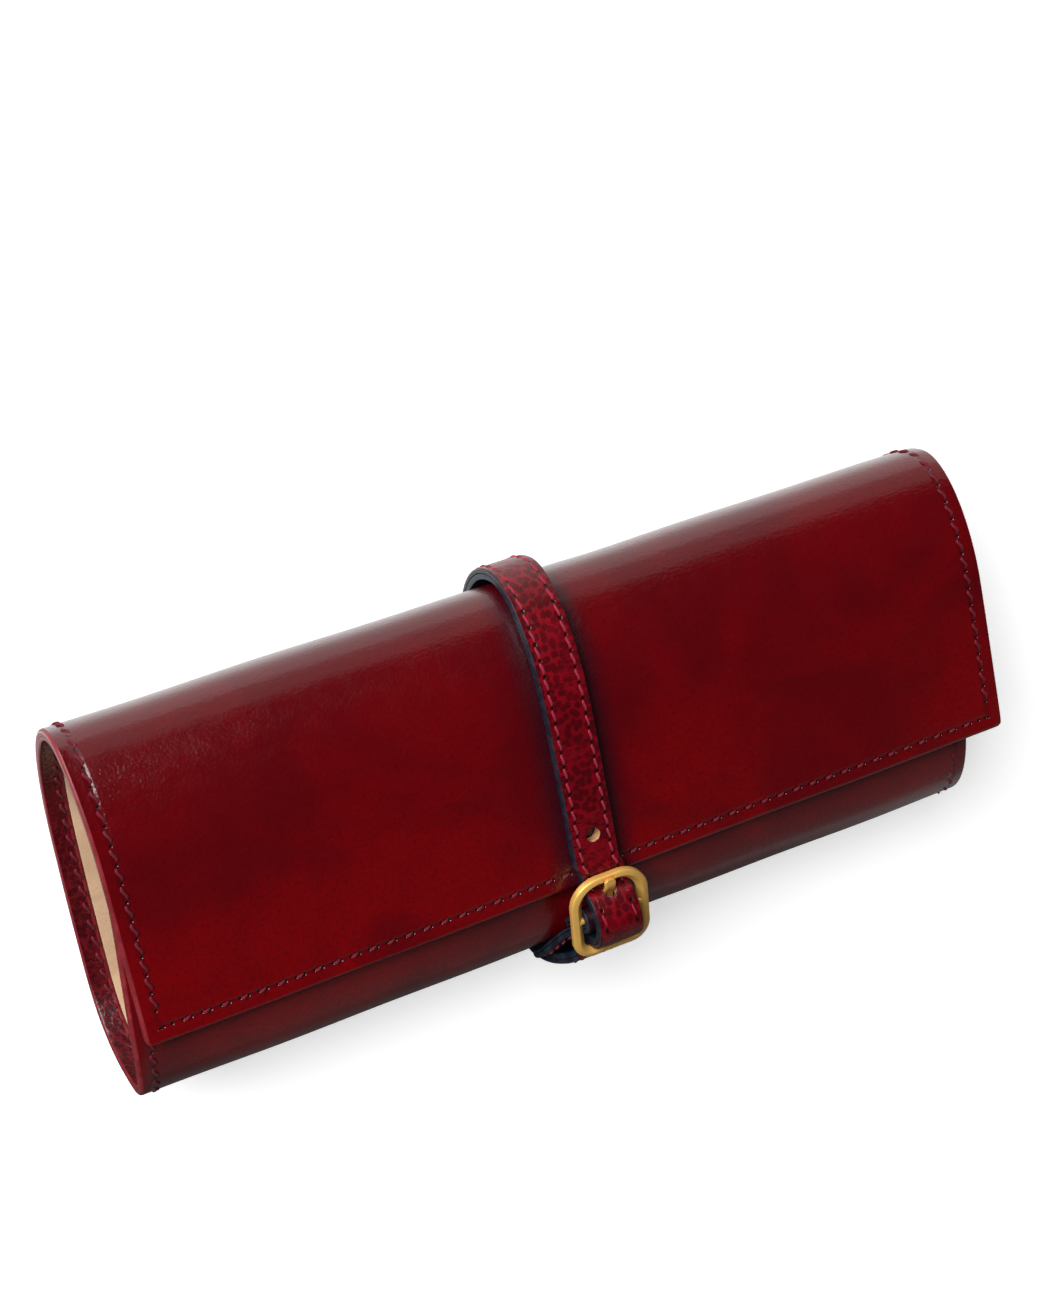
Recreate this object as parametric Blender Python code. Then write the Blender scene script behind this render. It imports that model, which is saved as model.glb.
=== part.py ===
"""Leather jewelry roll, closed by a strap and a centre-bar buckle.

One sheet of leather is rolled into a flat tube: front panel, bottom fold, back, top fold and
flap, with suede inside. It lies on its back at z = 0, X runs along the roll, and the top fold
is at +Y. All lengths are in metres.
"""
import math

import bmesh
import bpy
import numpy as np
from mathutils import Matrix, Vector

# Overall size of the roll
ROLL_LENGTH = 0.230
ROLL_WIDTH = 0.095
SEAT_GAP = 0.0003

# Closed shape of the sheet's outer face, seen from the end
TOP_LOWER_Y = 0.038
TOP_LOWER_Z = 0.0303
TOP_UPPER_Y = 0.032
TOP_UPPER_Z = 0.0172
BOTTOM_LOWER_Y = 0.0231
BOTTOM_LOWER_Z = 0.0242
BOTTOM_UPPER_Y = 0.0235
BOTTOM_UPPER_Z = 0.0177
FLAP_REACH = 0.0408
FLAP_DROP = 0.0007
FRONT_REACH = 0.0322
FRONT_RISE = 0.0016
ARC_STEPS = 10
PANEL_STEPS = 4

# The roll is closed slightly askew. Pairs of how far round the sheet, as a share of its developed
# length, and how far along X its end has moved there, as a share of the roll's length.
LEFT_SKEW_SHARES = ((0.0, 0.0156), (0.15, -0.0009), (0.23, 0.0), (0.31, -0.0052), (0.44, -0.0022),
                    (0.80, 0.0126), (1.0, 0.0117))
RIGHT_SKEW_SHARES = ((0.0, -0.0039), (0.15, -0.0143), (0.44, -0.0023), (1.0, 0.0211))

# Layers
LEATHER_THICKNESS = 0.0015
LINING_THICKNESS = 0.0008
BAND_THICKNESS = 0.0010
BAND_WIDTH = 0.0056
EDGE_FACING_WIDTH = 0.011

# Hinge lines of the flap, the front panel and the strap, set off from the sheet
FLAP_HINGE_OUT = 0.0045
FLAP_HINGE_LOWER = 0.0043
FRONT_HINGE_OUT = 0.0015
FRONT_HINGE_LOWER = 0.0032
STRAP_HINGE_IN = 0.0105
STRAP_HINGE_LOWER = 0.0035

# Strap
STRAP_WIDTH = 0.0116
STRAP_FACE = 0.0010
STRAP_BACKING = 0.0015
FIXED_BACKING = 0.0007
STRAP_CENTRE_X = 0.00185
STRAP_SLACK = 0.0022
STRAP_ANCHOR_SHARE = 0.34
TIP_START_INSET = 0.0058
TIP_SLACK = 0.0010
TIP_LENGTH_SHARE = 0.36
TIP_ROUNDING = 0.0045
TIP_END_ANGLE = math.radians(72.0)
TIP_STEPS = 6
HOLE_RADIUS = 0.0018
HOLE_PITCH = 0.0184
STRAP_STEP = 0.0016
HOLE_SEARCH_STEP = 0.0002

# Buckle, tilted where it bridges the bottom fold
BUCKLE_ASIDE = 0.00095
FRAME_WIDTH = 0.0207
FRAME_LENGTH = 0.0230
FRAME_BAR = 0.0024
FRAME_SIDE = 0.0030
FRAME_THICKNESS = 0.0022
FRAME_TOP_CORNER = 0.0064
FRAME_FOOT_CORNER = 0.0040
FRAME_TILT = math.radians(14.0)
TOP_BAR_INSET = 0.0002
TOP_BAR_RISE = 0.0097
CENTRE_BAR_RADIUS = 0.0009
BAR_CLEARANCE = 0.00035
PRONG_WIDTH = 0.0029
PRONG_THICKNESS = 0.0009
PRONG_NOTCH = 0.0004
PRONG_OVERHANG = 0.0005
EYE_WALL = 0.0008
SLOT_CLEARANCE = 0.0004
PRONG_CROSS_SHARE = 0.46
PRONG_REST_SHARE = 0.84
CORNER_STEPS = 6
EYE_STEPS = 16

# Fixed strap that carries the buckle
CARRIER_START_ASIDE = 0.0060
CARRIER_LEAVE_ASIDE = 0.0068
CARRIER_ANCHOR_SHARE = 0.34
CARRIER_LEAVE_SHARE = 0.14
CARRIER_SLACK = 0.0010
CARRIER_APPROACH = math.radians(60.0)
CARRIER_FOLD_BACK = 0.0088
CARRIER_CUT_SHARE = 0.12
CARRIER_STEPS = 8
LOOP_STEPS = 12

# Zip pocket on the back's lining
POCKET_LENGTH = 0.170
POCKET_MARGIN = 0.0024
POCKET_WIDTH = 0.0215
POCKET_THICKNESS = 0.0020
TAPE_WIDTH = 0.0044
TAPE_THICKNESS = 0.0007
TOOTH_ROW_WIDTH = 0.0011
TOOTH_HEIGHT = 0.0017
STOP_LENGTH = 0.0022
SLIDER_LENGTH = 0.0085
SLIDER_WALL = 0.0008
SLIDER_PLACE = -0.070
LUG_LENGTH = 0.0040
LUG_WIDTH = 0.0014
LUG_HEIGHT = 0.0026
PULL_LENGTH = 0.0180
PULL_WIDTH = 0.0052
PULL_THICKNESS = 0.0011
PULL_HOLE_LENGTH = 0.0032

# Ring bar over the pocket, with a press stud
BAR_LENGTH = 0.072
BAR_RADIUS = 0.0050
BAR_CENTRE_X = -0.004
BAR_INSET = 0.0100
BAR_ROUNDING = 0.0015
TAB_LENGTH = 0.0150
TAB_WIDTH = 0.0100
TAB_THICKNESS = 0.0012
HINGE_TAB_LENGTH = 0.0170
PATCH_LENGTH = 0.0150
STUD_CAP_RADIUS = 0.0044
STUD_CAP_HEIGHT = 0.0013
STUD_SOCKET_RADIUS = 0.0040
STUD_POST_RADIUS = 0.0016
STUD_FLANGE_HEIGHT = 0.0006

CUT_OVERRUN = 0.004

# Places worked out from the sizes above
BACK_END_Y = ROLL_WIDTH / 2 - TOP_LOWER_Y
BACK_START_Y = -ROLL_WIDTH / 2 + BOTTOM_LOWER_Y
FLAP_START_Y = ROLL_WIDTH / 2 - TOP_UPPER_Y
FRONT_START_Y = -ROLL_WIDTH / 2 + BOTTOM_UPPER_Y
FRONT_TOP_Z = BOTTOM_LOWER_Z + BOTTOM_UPPER_Z
FLAP_TOP_Z = TOP_LOWER_Z + TOP_UPPER_Z
FLAP_HINGE = (0.0, ROLL_WIDTH / 2 + FLAP_HINGE_OUT, TOP_LOWER_Z - FLAP_HINGE_LOWER)
FRONT_HINGE = (0.0, -ROLL_WIDTH / 2 - FRONT_HINGE_OUT, BOTTOM_LOWER_Z - FRONT_HINGE_LOWER)
STRAP_HINGE = (0.0, FLAP_START_Y + STRAP_HINGE_IN, FLAP_TOP_Z - STRAP_HINGE_LOWER)
TIP_START_Y = FLAP_START_Y - FLAP_REACH + TIP_START_INSET
TOP_BAR_Y = FRONT_START_Y + TOP_BAR_INSET
TOP_BAR_Z = FRONT_TOP_Z + TOP_BAR_RISE
POCKET_LOW_Y = BACK_START_Y + POCKET_MARGIN
BAR_CENTRE_Y = POCKET_LOW_Y + BAR_INSET
LINING_DEPTH = LEATHER_THICKNESS + SEAT_GAP
LINING_FACE = LINING_DEPTH + LINING_THICKNESS
STRAP_THICKNESS = STRAP_FACE + SEAT_GAP + STRAP_BACKING
FIXED_THICKNESS = STRAP_FACE + SEAT_GAP + FIXED_BACKING
HALF_PITCH = (FRAME_LENGTH - FRAME_BAR) / 2
FRAME_V = Vector((0.0, math.cos(FRAME_TILT), math.sin(FRAME_TILT)))
FRAME_W = Vector((0.0, -math.sin(FRAME_TILT), math.cos(FRAME_TILT)))
LOOP_RADIUS = CENTRE_BAR_RADIUS + BAR_CLEARANCE
EYE_RADIUS = LOOP_RADIUS + EYE_WALL


def clear_scene():
    for old in list(bpy.data.objects):
        bpy.data.objects.remove(old, do_unlink=True)


def make_material(name, colour, roughness, metallic=0.0):
    material = bpy.data.materials.new(name)
    material.use_nodes = True
    shader = material.node_tree.nodes["Principled BSDF"]
    shader.inputs["Base Color"].default_value = (*colour, 1.0)
    shader.inputs["Roughness"].default_value = roughness
    shader.inputs["Metallic"].default_value = metallic
    material.diffuse_color = (*colour, 1.0)
    return material


def make_materials():
    return {
        "smooth_leather": make_material("smooth_leather", (0.13, 0.002, 0.005), 0.30),
        "grain_leather": make_material("grain_leather", (0.11, 0.004, 0.009), 0.38),
        "suede": make_material("suede", (0.56, 0.36, 0.22), 0.95),
        "edge_backing": make_material("edge_backing", (0.012, 0.018, 0.035), 0.5),
        "gold": make_material("gold", (0.86, 0.60, 0.24), 0.28, 1.0),
        "zip_tape": make_material("zip_tape", (0.42, 0.28, 0.15), 0.85),
    }


def add_mesh(name, bm, material, smooth_angle=40.0):
    """Turns a bmesh into a named object with outward faces and its own material."""
    bmesh.ops.recalc_face_normals(bm, faces=bm.faces)
    mesh = bpy.data.meshes.new(name)
    bm.to_mesh(mesh)
    bm.free()
    mesh.shade_smooth()
    mesh.set_sharp_from_angle(angle=math.radians(smooth_angle))
    body = bpy.data.objects.new(name, mesh)
    bpy.context.scene.collection.objects.link(body)
    body.data.materials.append(material)
    return body


def add_cutter(name, bm):
    cutter = add_mesh(name, bm, None)
    cutter.hide_render = True
    cutter.display_type = "WIRE"
    return cutter


def boolean(body, tool, operation="DIFFERENCE"):
    modifier = body.modifiers.new(tool.name, "BOOLEAN")
    modifier.operation = operation
    modifier.solver = "EXACT"
    modifier.object = tool


def set_origin(body, point):
    """Moves an object's origin to a world point without moving its shape."""
    body.data.transform(Matrix.Translation(-Vector(point)))
    body.location = point


def quarter(centre_y, centre_z, radius_y, radius_z, start, end):
    """Points on a quarter of an ellipse, angles measured from +Y towards +Z."""
    angles = np.linspace(start, end, ARC_STEPS + 1)
    return [(centre_y + radius_y * math.cos(a), centre_z + radius_z * math.sin(a)) for a in angles]


def front_zone():
    """The front panel under the flap, from its free edge to the bottom fold."""
    shares = np.linspace(1.0, 0.0, PANEL_STEPS + 1)
    rise = [1.0 - math.cos(share * math.pi / 2) for share in shares]
    return [(FRONT_START_Y + FRONT_REACH * share, FRONT_TOP_Z + FRONT_RISE * up)
            for share, up in zip(shares, rise)]


def flap_zone():
    """The flap, from the top fold to its free edge, sinking a little."""
    shares = np.linspace(0.0, 1.0, PANEL_STEPS + 1)
    return [(FLAP_START_Y - FLAP_REACH * share, FLAP_TOP_Z - FLAP_DROP * share ** 2) for share in shares]


def build_section():
    """The sheet's outer line with its outward normals and developed lengths, from the front
    panel's free edge round to the flap's, and the lengths at which its zones meet."""
    half = ROLL_WIDTH / 2
    zones = [
        front_zone(),
        quarter(FRONT_START_Y, BOTTOM_LOWER_Z, BOTTOM_UPPER_Y, BOTTOM_UPPER_Z, math.pi / 2, math.pi),
        quarter(BACK_START_Y, BOTTOM_LOWER_Z, BOTTOM_LOWER_Y, BOTTOM_LOWER_Z, math.pi, 3 * math.pi / 2),
        [(BACK_START_Y, 0.0), (BACK_END_Y, 0.0)],
        quarter(BACK_END_Y, TOP_LOWER_Z, half - BACK_END_Y, TOP_LOWER_Z, -math.pi / 2, 0.0),
        quarter(FLAP_START_Y, TOP_LOWER_Z, half - FLAP_START_Y, TOP_UPPER_Z, 0.0, math.pi / 2),
        flap_zone(),
    ]
    points = [zones[0][0]]
    joins = [0]
    for zone in zones:
        points.extend(zone[1:])
        joins.append(len(points) - 1)
    line = np.array(points)
    lengths = np.concatenate([[0.0], np.cumsum(np.hypot(*np.diff(line, axis=0).T))])
    tangents = np.gradient(line, lengths, axis=0)
    tangents /= np.linalg.norm(tangents, axis=1)[:, None]
    normals = np.column_stack([tangents[:, 1], -tangents[:, 0]])
    return line, normals, lengths, [lengths[j] for j in joins]


LINE, NORMALS, LENGTHS, JOINS = build_section()
S_FRONT_END, S_FOLD_MID, S_BACK_START, S_BACK_END, S_TOP_MID, S_FLAP_START, S_FLAP_END = JOINS[1:]


def skew_at(length):
    """How far along X the sheet's middle has moved at this developed length, and the share of
    the roll's length that the sheet is long there."""
    left, right = (float(np.interp(length / S_FLAP_END, *zip(*table)))
                   for table in (LEFT_SKEW_SHARES, RIGHT_SKEW_SHARES))
    return ROLL_LENGTH * (left + right) / 2, 1.0 + right - left


def station(length, offset=0.0, x=0.0):
    """A place on the sheet: its X shift for what lies at x, its Y and Z, and its outward normal."""
    place = [np.interp(length, LENGTHS, LINE[:, k]) for k in (0, 1)]
    normal = np.array([np.interp(length, LENGTHS, NORMALS[:, k]) for k in (0, 1)])
    normal /= np.linalg.norm(normal)
    y, z = place[0] + offset * normal[0], place[1] + offset * normal[1]
    shift, long_share = skew_at(length)
    return (shift + x * (long_share - 1.0), y, z, normal[0], normal[1])


def lengths_between(start, end):
    """The developed lengths from one to another, with every bend between them."""
    return [start, *(s for s in LENGTHS if start + SEAT_GAP < s < end - SEAT_GAP), end]


def stations(start, end, x=0.0):
    """Places on the sheet from one length to another, for what lies at x."""
    return [station(s, 0.0, x) for s in lengths_between(start, end)]


def across_sheet(name, start, end, near, far, high_x, material):
    """A slab that spans the sheet's middle and is as long as the sheet is at each place."""
    long_shares = [skew_at(s)[1] for s in lengths_between(start, end)]
    return slab(name, stations(start, end), near, far, -high_x, high_x, material, long_shares)


def length_at_y(y):
    """The developed length where the flap reaches this Y."""
    flap = LENGTHS >= S_FLAP_START
    return float(np.interp(-y, -LINE[flap, 0], LENGTHS[flap]))


def slab_bmesh(places, near, far, low_x, high_x, width_shares=None):
    """A closed slab that follows the places, between two heights over them."""
    bm = bmesh.new()
    rings = []
    middle = (low_x + high_x) / 2
    half = (high_x - low_x) / 2
    for (shift, y, z, ny, nz), share in zip(places, width_shares or [1.0] * len(places)):
        left, right = middle - half * share, middle + half * share
        corners = [(left, near), (right, near), (right, far), (left, far)]
        rings.append([bm.verts.new((shift + x, y + h * ny, z + h * nz)) for x, h in corners])
    for a, b in zip(rings, rings[1:]):
        for k in range(4):
            j = (k + 1) % 4
            bm.faces.new((a[k], a[j], b[j], b[k]))
    bm.faces.new(rings[0])
    bm.faces.new(rings[-1])
    return bm


def slab(name, places, near, far, low_x, high_x, material, width_shares=None):
    return add_mesh(name, slab_bmesh(places, near, far, low_x, high_x, width_shares), material)


def box_bmesh(low, high):
    bm = bmesh.new()
    size = Vector(high) - Vector(low)
    middle = (Vector(high) + Vector(low)) / 2
    bmesh.ops.create_cube(bm, size=1.0, matrix=Matrix.Translation(middle) @ Matrix.Diagonal((*size, 1.0)))
    return bm


def box(name, low, high, material):
    return add_mesh(name, box_bmesh(low, high), material)


def turned(name, centre, profile, material, steps=24):
    """A solid turned about a vertical line; the profile is (radius, height) pairs."""
    bm = bmesh.new()
    rings = []
    for radius, height in profile:
        angles = [2 * math.pi * k / steps for k in range(steps)]
        rings.append([bm.verts.new((centre[0] + radius * math.cos(a), centre[1] + radius * math.sin(a),
                                    centre[2] + height)) for a in angles])
    for a, b in zip(rings, rings[1:]):
        for k in range(steps):
            bm.faces.new((a[k], a[(k + 1) % steps], b[(k + 1) % steps], b[k]))
    bm.faces.new(rings[0])
    bm.faces.new(rings[-1])
    return add_mesh(name, bm, material)


def rod_bmesh(start, end, radius, steps=16):
    """A plain rod between two points."""
    axis = Vector(end) - Vector(start)
    turn = axis.to_track_quat("Z", "Y").to_matrix().to_4x4()
    bm = bmesh.new()
    place = Matrix.Translation((Vector(start) + Vector(end)) / 2) @ turn
    bmesh.ops.create_cone(bm, cap_ends=True, segments=steps, radius1=radius, radius2=radius,
                          depth=axis.length, matrix=place)
    return bm


def make_sheet(materials):
    """The five zones of the rolled sheet, each with its leather, lining and end bands."""
    gap = SEAT_GAP / 2
    zones = {
        "front_panel": (0.0, S_FRONT_END - gap),
        "bottom_fold": (S_FRONT_END + gap, S_BACK_START - gap),
        "back_panel": (S_BACK_START + gap, S_BACK_END - gap),
        "top_fold": (S_BACK_END + gap, S_FLAP_START - gap),
        "flap": (S_FLAP_START + gap, S_FLAP_END),
    }
    half = ROLL_LENGTH / 2
    inner = half - BAND_WIDTH - SEAT_GAP
    band = (-LINING_DEPTH, -LINING_DEPTH - BAND_THICKNESS)
    lining = (-LINING_DEPTH, -LINING_FACE)
    facing = EDGE_FACING_WIDTH
    pieces = {}
    for name, (start, end) in zones.items():
        layers = pieces[name] = []
        layers.append(across_sheet(name, start, end, 0.0, -LEATHER_THICKNESS, half,
                                   materials["smooth_leather"]))
        lining_start = facing + SEAT_GAP if name == "front_panel" else start
        lining_end = end - facing - SEAT_GAP if name == "flap" else end
        layers.append(across_sheet(name + "_lining", lining_start, lining_end, *lining, inner,
                                   materials["suede"]))
        for side, low, high in (("left", -half, -half + BAND_WIDTH), ("right", half - BAND_WIDTH, half)):
            places = stations(start, end, high if side == "left" else low)
            layers.append(slab(f"{name}_band_{side}", places, *band, low, high, materials["grain_leather"]))
    pieces["front_panel"].append(across_sheet("front_edge_facing", 0.0, facing, *band, inner,
                                              materials["grain_leather"]))
    pieces["flap"].append(across_sheet("flap_edge_facing", S_FLAP_END - facing, S_FLAP_END, *band, inner,
                                       materials["grain_leather"]))
    for zone, hinge in (("flap", FLAP_HINGE), ("front_panel", FRONT_HINGE)):
        for layer in pieces[zone]:
            set_origin(layer, hinge)


def frame_point(v, w, x=0.0):
    """A world point from the buckle's own axes: v towards the top bar, w outwards. Strap routes
    pass -STRAP_CENTRE_X as x, because a strap's plies add it again."""
    centre = Vector((STRAP_CENTRE_X + BUCKLE_ASIDE, TOP_BAR_Y, TOP_BAR_Z)) - HALF_PITCH * FRAME_V
    return centre + v * FRAME_V + w * FRAME_W + Vector((x, 0.0, 0.0))


def smooth_route(points, step):
    """A Catmull-Rom curve through the points, with a point about every step."""
    pts = [Vector(p) for p in points]
    pts = [2 * pts[0] - pts[1], *pts, 2 * pts[-1] - pts[-2]]
    route = []
    for a, b, c, d in zip(pts, pts[1:], pts[2:], pts[3:]):
        count = max(1, round((c - b).length / step))
        for k in range(count):
            t = k / count
            route.append(0.5 * (2 * b + (c - a) * t + (2 * a - 5 * b + 4 * c - d) * t ** 2
                                + (3 * b - a - 3 * c + d) * t ** 3))
    route.append(pts[-2])
    return route


def route_places(route, side):
    """Stations along a route; side is -1 where the outside is on the right of the way."""
    pts = np.array([tuple(p) for p in route])
    tangents = np.gradient(pts[:, 1:], axis=0)
    tangents /= np.linalg.norm(tangents, axis=1)[:, None]
    normals = side * np.column_stack([-tangents[:, 1], tangents[:, 0]])
    return [(p[0], p[1], p[2], n[0], n[1]) for p, n in zip(pts, normals)]


def strap_route():
    """The closing strap's inner line, from its sewn end round the top fold and over the flap."""
    start = S_BACK_END + STRAP_ANCHOR_SHARE * (S_TOP_MID - S_BACK_END)
    end = length_at_y(TIP_START_Y)
    route = []
    for length in np.arange(start, end, STRAP_STEP):
        over_fold = min((length - start) / (S_FLAP_START - start), 1.0)
        lift = SEAT_GAP + STRAP_SLACK * math.sin(math.pi * over_fold) ** 2
        _, y, z, _, _ = station(length, lift)
        route.append(Vector((0.0, y, z)))
    _, y, z, _, _ = station(end, SEAT_GAP)
    return route + [Vector((0.0, y, z))]


def tip_route():
    """The strap's tip: under the top bar, over the centre bar, under the foot bar and down."""
    under = -(FRAME_THICKNESS / 2 + BAR_CLEARANCE + STRAP_THICKNESS)
    over = LOOP_RADIUS + FIXED_THICKNESS + BAR_CLEARANCE
    along_shares = (1.0, 0.84, 0.555, 0.365, 0.0, -0.28, -0.50, -0.59, -0.64, -0.81, -1.0)
    height_shares = (-0.01, -0.01, 0.18, 0.69, 1.0, 0.957, 0.738, 0.518, 0.248, 0.0, -0.07)
    points = []
    for along, height in zip(along_shares, height_shares):
        points.append(frame_point(along * HALF_PITCH, under + (over - under) * height, -STRAP_CENTRE_X))
    clear = SEAT_GAP + CARRIER_SLACK + FIXED_THICKNESS + BAR_CLEARANCE
    lower_fold = S_BACK_START - S_FOLD_MID
    upper_fold = S_FOLD_MID - S_FRONT_END
    start_x = points[-1].x
    fold_shares = ((-0.30, 0.9, 0.35), (0.06, 1.0, 0.7), (TIP_LENGTH_SHARE, 0.4, 1.0))
    for around, slack, blend in fold_shares:
        length = S_FOLD_MID + around * (lower_fold if around > 0.0 else upper_fold)
        _, y, z, _, _ = station(length, clear + TIP_SLACK * slack)
        points.append(Vector((start_x - (start_x + CARRIER_START_ASIDE) * blend, y, z)))
    first = strap_route()[-1]
    return smooth_route([first, *points], STRAP_STEP)


def carrier_route():
    """The buckle's fixed strap: from its sewn end up the bottom fold, round the centre bar and
    back under itself."""
    bar = frame_point(0.0, 0.0, -STRAP_CENTRE_X)
    start = S_BACK_START - CARRIER_ANCHOR_SHARE * (S_BACK_START - S_FOLD_MID)
    leave = S_FOLD_MID - CARRIER_LEAVE_SHARE * (S_FOLD_MID - S_FRONT_END)
    points = []
    for share in np.linspace(0.0, 1.0, CARRIER_STEPS + 1):
        lift = SEAT_GAP + CARRIER_SLACK * math.sin(math.pi / 2 * share) ** 2
        _, y, z, _, _ = station(start + (leave - start) * share, lift)
        aside = CARRIER_START_ASIDE + (CARRIER_LEAVE_ASIDE - CARRIER_START_ASIDE) * share
        points.append(Vector((-aside, y, z)))
    along = Vector((0.0, math.cos(CARRIER_APPROACH), math.sin(CARRIER_APPROACH)))
    out = Vector((0.0, -math.sin(CARRIER_APPROACH), math.cos(CARRIER_APPROACH)))
    middle = bar - CARRIER_FOLD_BACK * along + SEAT_GAP / 2 * out
    middle.x = (bar.x + points[-1].x) / 2
    climb = smooth_route([*points, middle, bar + LOOP_RADIUS * out], STRAP_STEP)
    arc = []
    for k in range(1, LOOP_STEPS + 1):
        angle = math.pi * k / LOOP_STEPS
        arc.append(bar + LOOP_RADIUS * (math.cos(angle) * out + math.sin(angle) * along))
    back = []
    steps = round(CARRIER_FOLD_BACK / STRAP_STEP)
    for k in range(1, steps + 1):
        apart = LOOP_RADIUS + (SEAT_GAP / 2 - LOOP_RADIUS) * k / steps
        step = bar - (CARRIER_FOLD_BACK * k / steps) * along - apart * out
        step.x = bar.x + (middle.x - bar.x) * k / steps
        back.append(step)
    return climb, arc, back


def two_plies(prefix, places, thickness, materials, width_shares=None):
    """A strap's run: its backing, this thick, next to the roll and its grain face outside."""
    low = STRAP_CENTRE_X - STRAP_WIDTH / 2
    high = STRAP_CENTRE_X + STRAP_WIDTH / 2
    face_start = thickness + SEAT_GAP
    backing = slab(f"{prefix}_backing", places, 0.0, thickness, low, high, materials["edge_backing"],
                   width_shares)
    face = slab(f"{prefix}_face", places, face_start, face_start + STRAP_FACE, low, high,
                materials["grain_leather"], width_shares)
    return backing, face


def cut_hole(plies, place, name):
    """Punches a hole through both plies, square to the strap."""
    shift, y, z, ny, nz = place
    middle = Vector((shift + STRAP_CENTRE_X, y, z))
    normal = Vector((0.0, ny, nz))
    start, end = middle - CUT_OVERRUN * normal, middle + CUT_OVERRUN * normal
    cutter = add_cutter(name, rod_bmesh(start, end, HOLE_RADIUS))
    for ply in plies:
        boolean(ply, cutter)


def rounded_end(places):
    """Adds places near the run's end, and gives each place the share of the strap's width
    that a rounded end has there."""
    travel = travel_along(places)
    start = travel[-1] - TIP_ROUNDING
    kept = [d for d in travel if d < start]
    turns = np.linspace(0.0, TIP_END_ANGLE, TIP_STEPS + 1)
    wanted = [*kept, *(start + TIP_ROUNDING * math.sin(a) / math.sin(TIP_END_ANGLE) for a in turns)]
    placed = [place_at(places, d) for d in wanted]
    return placed, [1.0] * len(kept) + [math.cos(a) for a in turns]


def gap_ends(places, first, last):
    """Takes half a seat gap off the first or last place of a run."""
    places = [np.array(p) for p in places]
    if first:
        way = places[1] - places[0]
        places[0] = places[0] + way * (SEAT_GAP / 2 / np.linalg.norm(way[:3]))
    if last:
        way = places[-2] - places[-1]
        places[-1] = places[-1] + way * (SEAT_GAP / 2 / np.linalg.norm(way[:3]))
    return [tuple(p) for p in places]


def travel_along(places):
    """How far each place lies along its run."""
    return np.cumsum([0.0] + [math.dist(a[:3], b[:3]) for a, b in zip(places, places[1:])])


def place_at(places, distance):
    """The place at this distance along a run."""
    travel = travel_along(places)
    columns = np.array(places)
    return tuple(float(np.interp(distance, travel, columns[:, k])) for k in range(5))


def make_strap(materials):
    """The closing strap: over the fold, along the flap, and the tip in the buckle."""
    whole = route_places(strap_route() + tip_route()[1:], -1)
    over_flap = next(k for k, p in enumerate(whole) if p[2] > TOP_LOWER_Z and p[1] < FLAP_START_Y)
    tip_start = len(strap_route()) - 1
    two_plies("strap_fold", gap_ends(whole[:over_flap + 1], False, True), STRAP_BACKING, materials)
    plies = two_plies("strap", gap_ends(whole[over_flap:tip_start + 1], True, True), STRAP_BACKING, materials)
    tip, width_shares = rounded_end(gap_ends(whole[tip_start:], True, False))
    tip_plies = two_plies("strap_tip", tip, STRAP_BACKING, materials, width_shares)
    crossing = frame_point(PRONG_CROSS_SHARE * HALF_PITCH, -PRONG_THICKNESS)
    travel = travel_along(whole)
    inside = np.arange(travel[tip_start], travel[tip_start] + 2 * HALF_PITCH, HOLE_SEARCH_STEP)
    used = min(inside, key=lambda d: math.dist(place_at(whole, d)[1:3], crossing[1:3]))
    cut_hole(plies, place_at(whole, used - HOLE_PITCH), "spare_hole")
    cut_hole(tip_plies, place_at(whole, used), "used_hole")
    cut_hole(tip_plies, place_at(whole, used + HOLE_PITCH), "end_hole")
    for ply in (*plies, *tip_plies):
        set_origin(ply, STRAP_HINGE)


def make_carrier(materials):
    """The buckle's fixed strap, with a slot for the prong where it turns round the bar."""
    climb, arc, back = carrier_route()
    places = route_places(climb + arc + back, 1)
    cut = next(k for k, p in enumerate(places) if p[2] > BOTTOM_LOWER_Z + CARRIER_CUT_SHARE * BOTTOM_UPPER_Z)
    two_plies("buckle_strap_fold", gap_ends(places[:cut + 1], False, True), FIXED_BACKING, materials)
    plies = two_plies("buckle_strap", gap_ends(places[cut:], True, False), FIXED_BACKING, materials)
    slot_half = PRONG_WIDTH / 2 + SLOT_CLEARANCE
    reach = EYE_RADIUS + FIXED_THICKNESS
    bm = box_bmesh((-slot_half, -EYE_RADIUS, -EYE_RADIUS - SEAT_GAP), (slot_half, reach + SEAT_GAP, reach))
    turn = Matrix.Rotation(FRAME_TILT, 4, "X")
    bmesh.ops.transform(bm, matrix=Matrix.Translation(frame_point(0.0, 0.0)) @ turn, verts=bm.verts)
    slot = add_cutter("prong_slot", bm)
    for ply in plies:
        boolean(ply, slot)
        set_origin(ply, FRONT_HINGE)


def frame_outline():
    """The buckle frame's centre line in its own plane, anticlockwise from the right side."""
    half_x = (FRAME_WIDTH - FRAME_SIDE) / 2
    corners = [(1, 1, FRAME_TOP_CORNER), (-1, 1, FRAME_TOP_CORNER), (-1, -1, FRAME_FOOT_CORNER),
               (1, -1, FRAME_FOOT_CORNER)]
    outline = []
    for number, (sx, sv, radius) in enumerate(corners):
        for k in range(CORNER_STEPS + 1):
            angle = math.pi / 2 * (number + k / CORNER_STEPS)
            outline.append((sx * (half_x - radius) + radius * math.cos(angle),
                            sv * (HALF_PITCH - radius) + radius * math.sin(angle)))
    return outline


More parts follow.
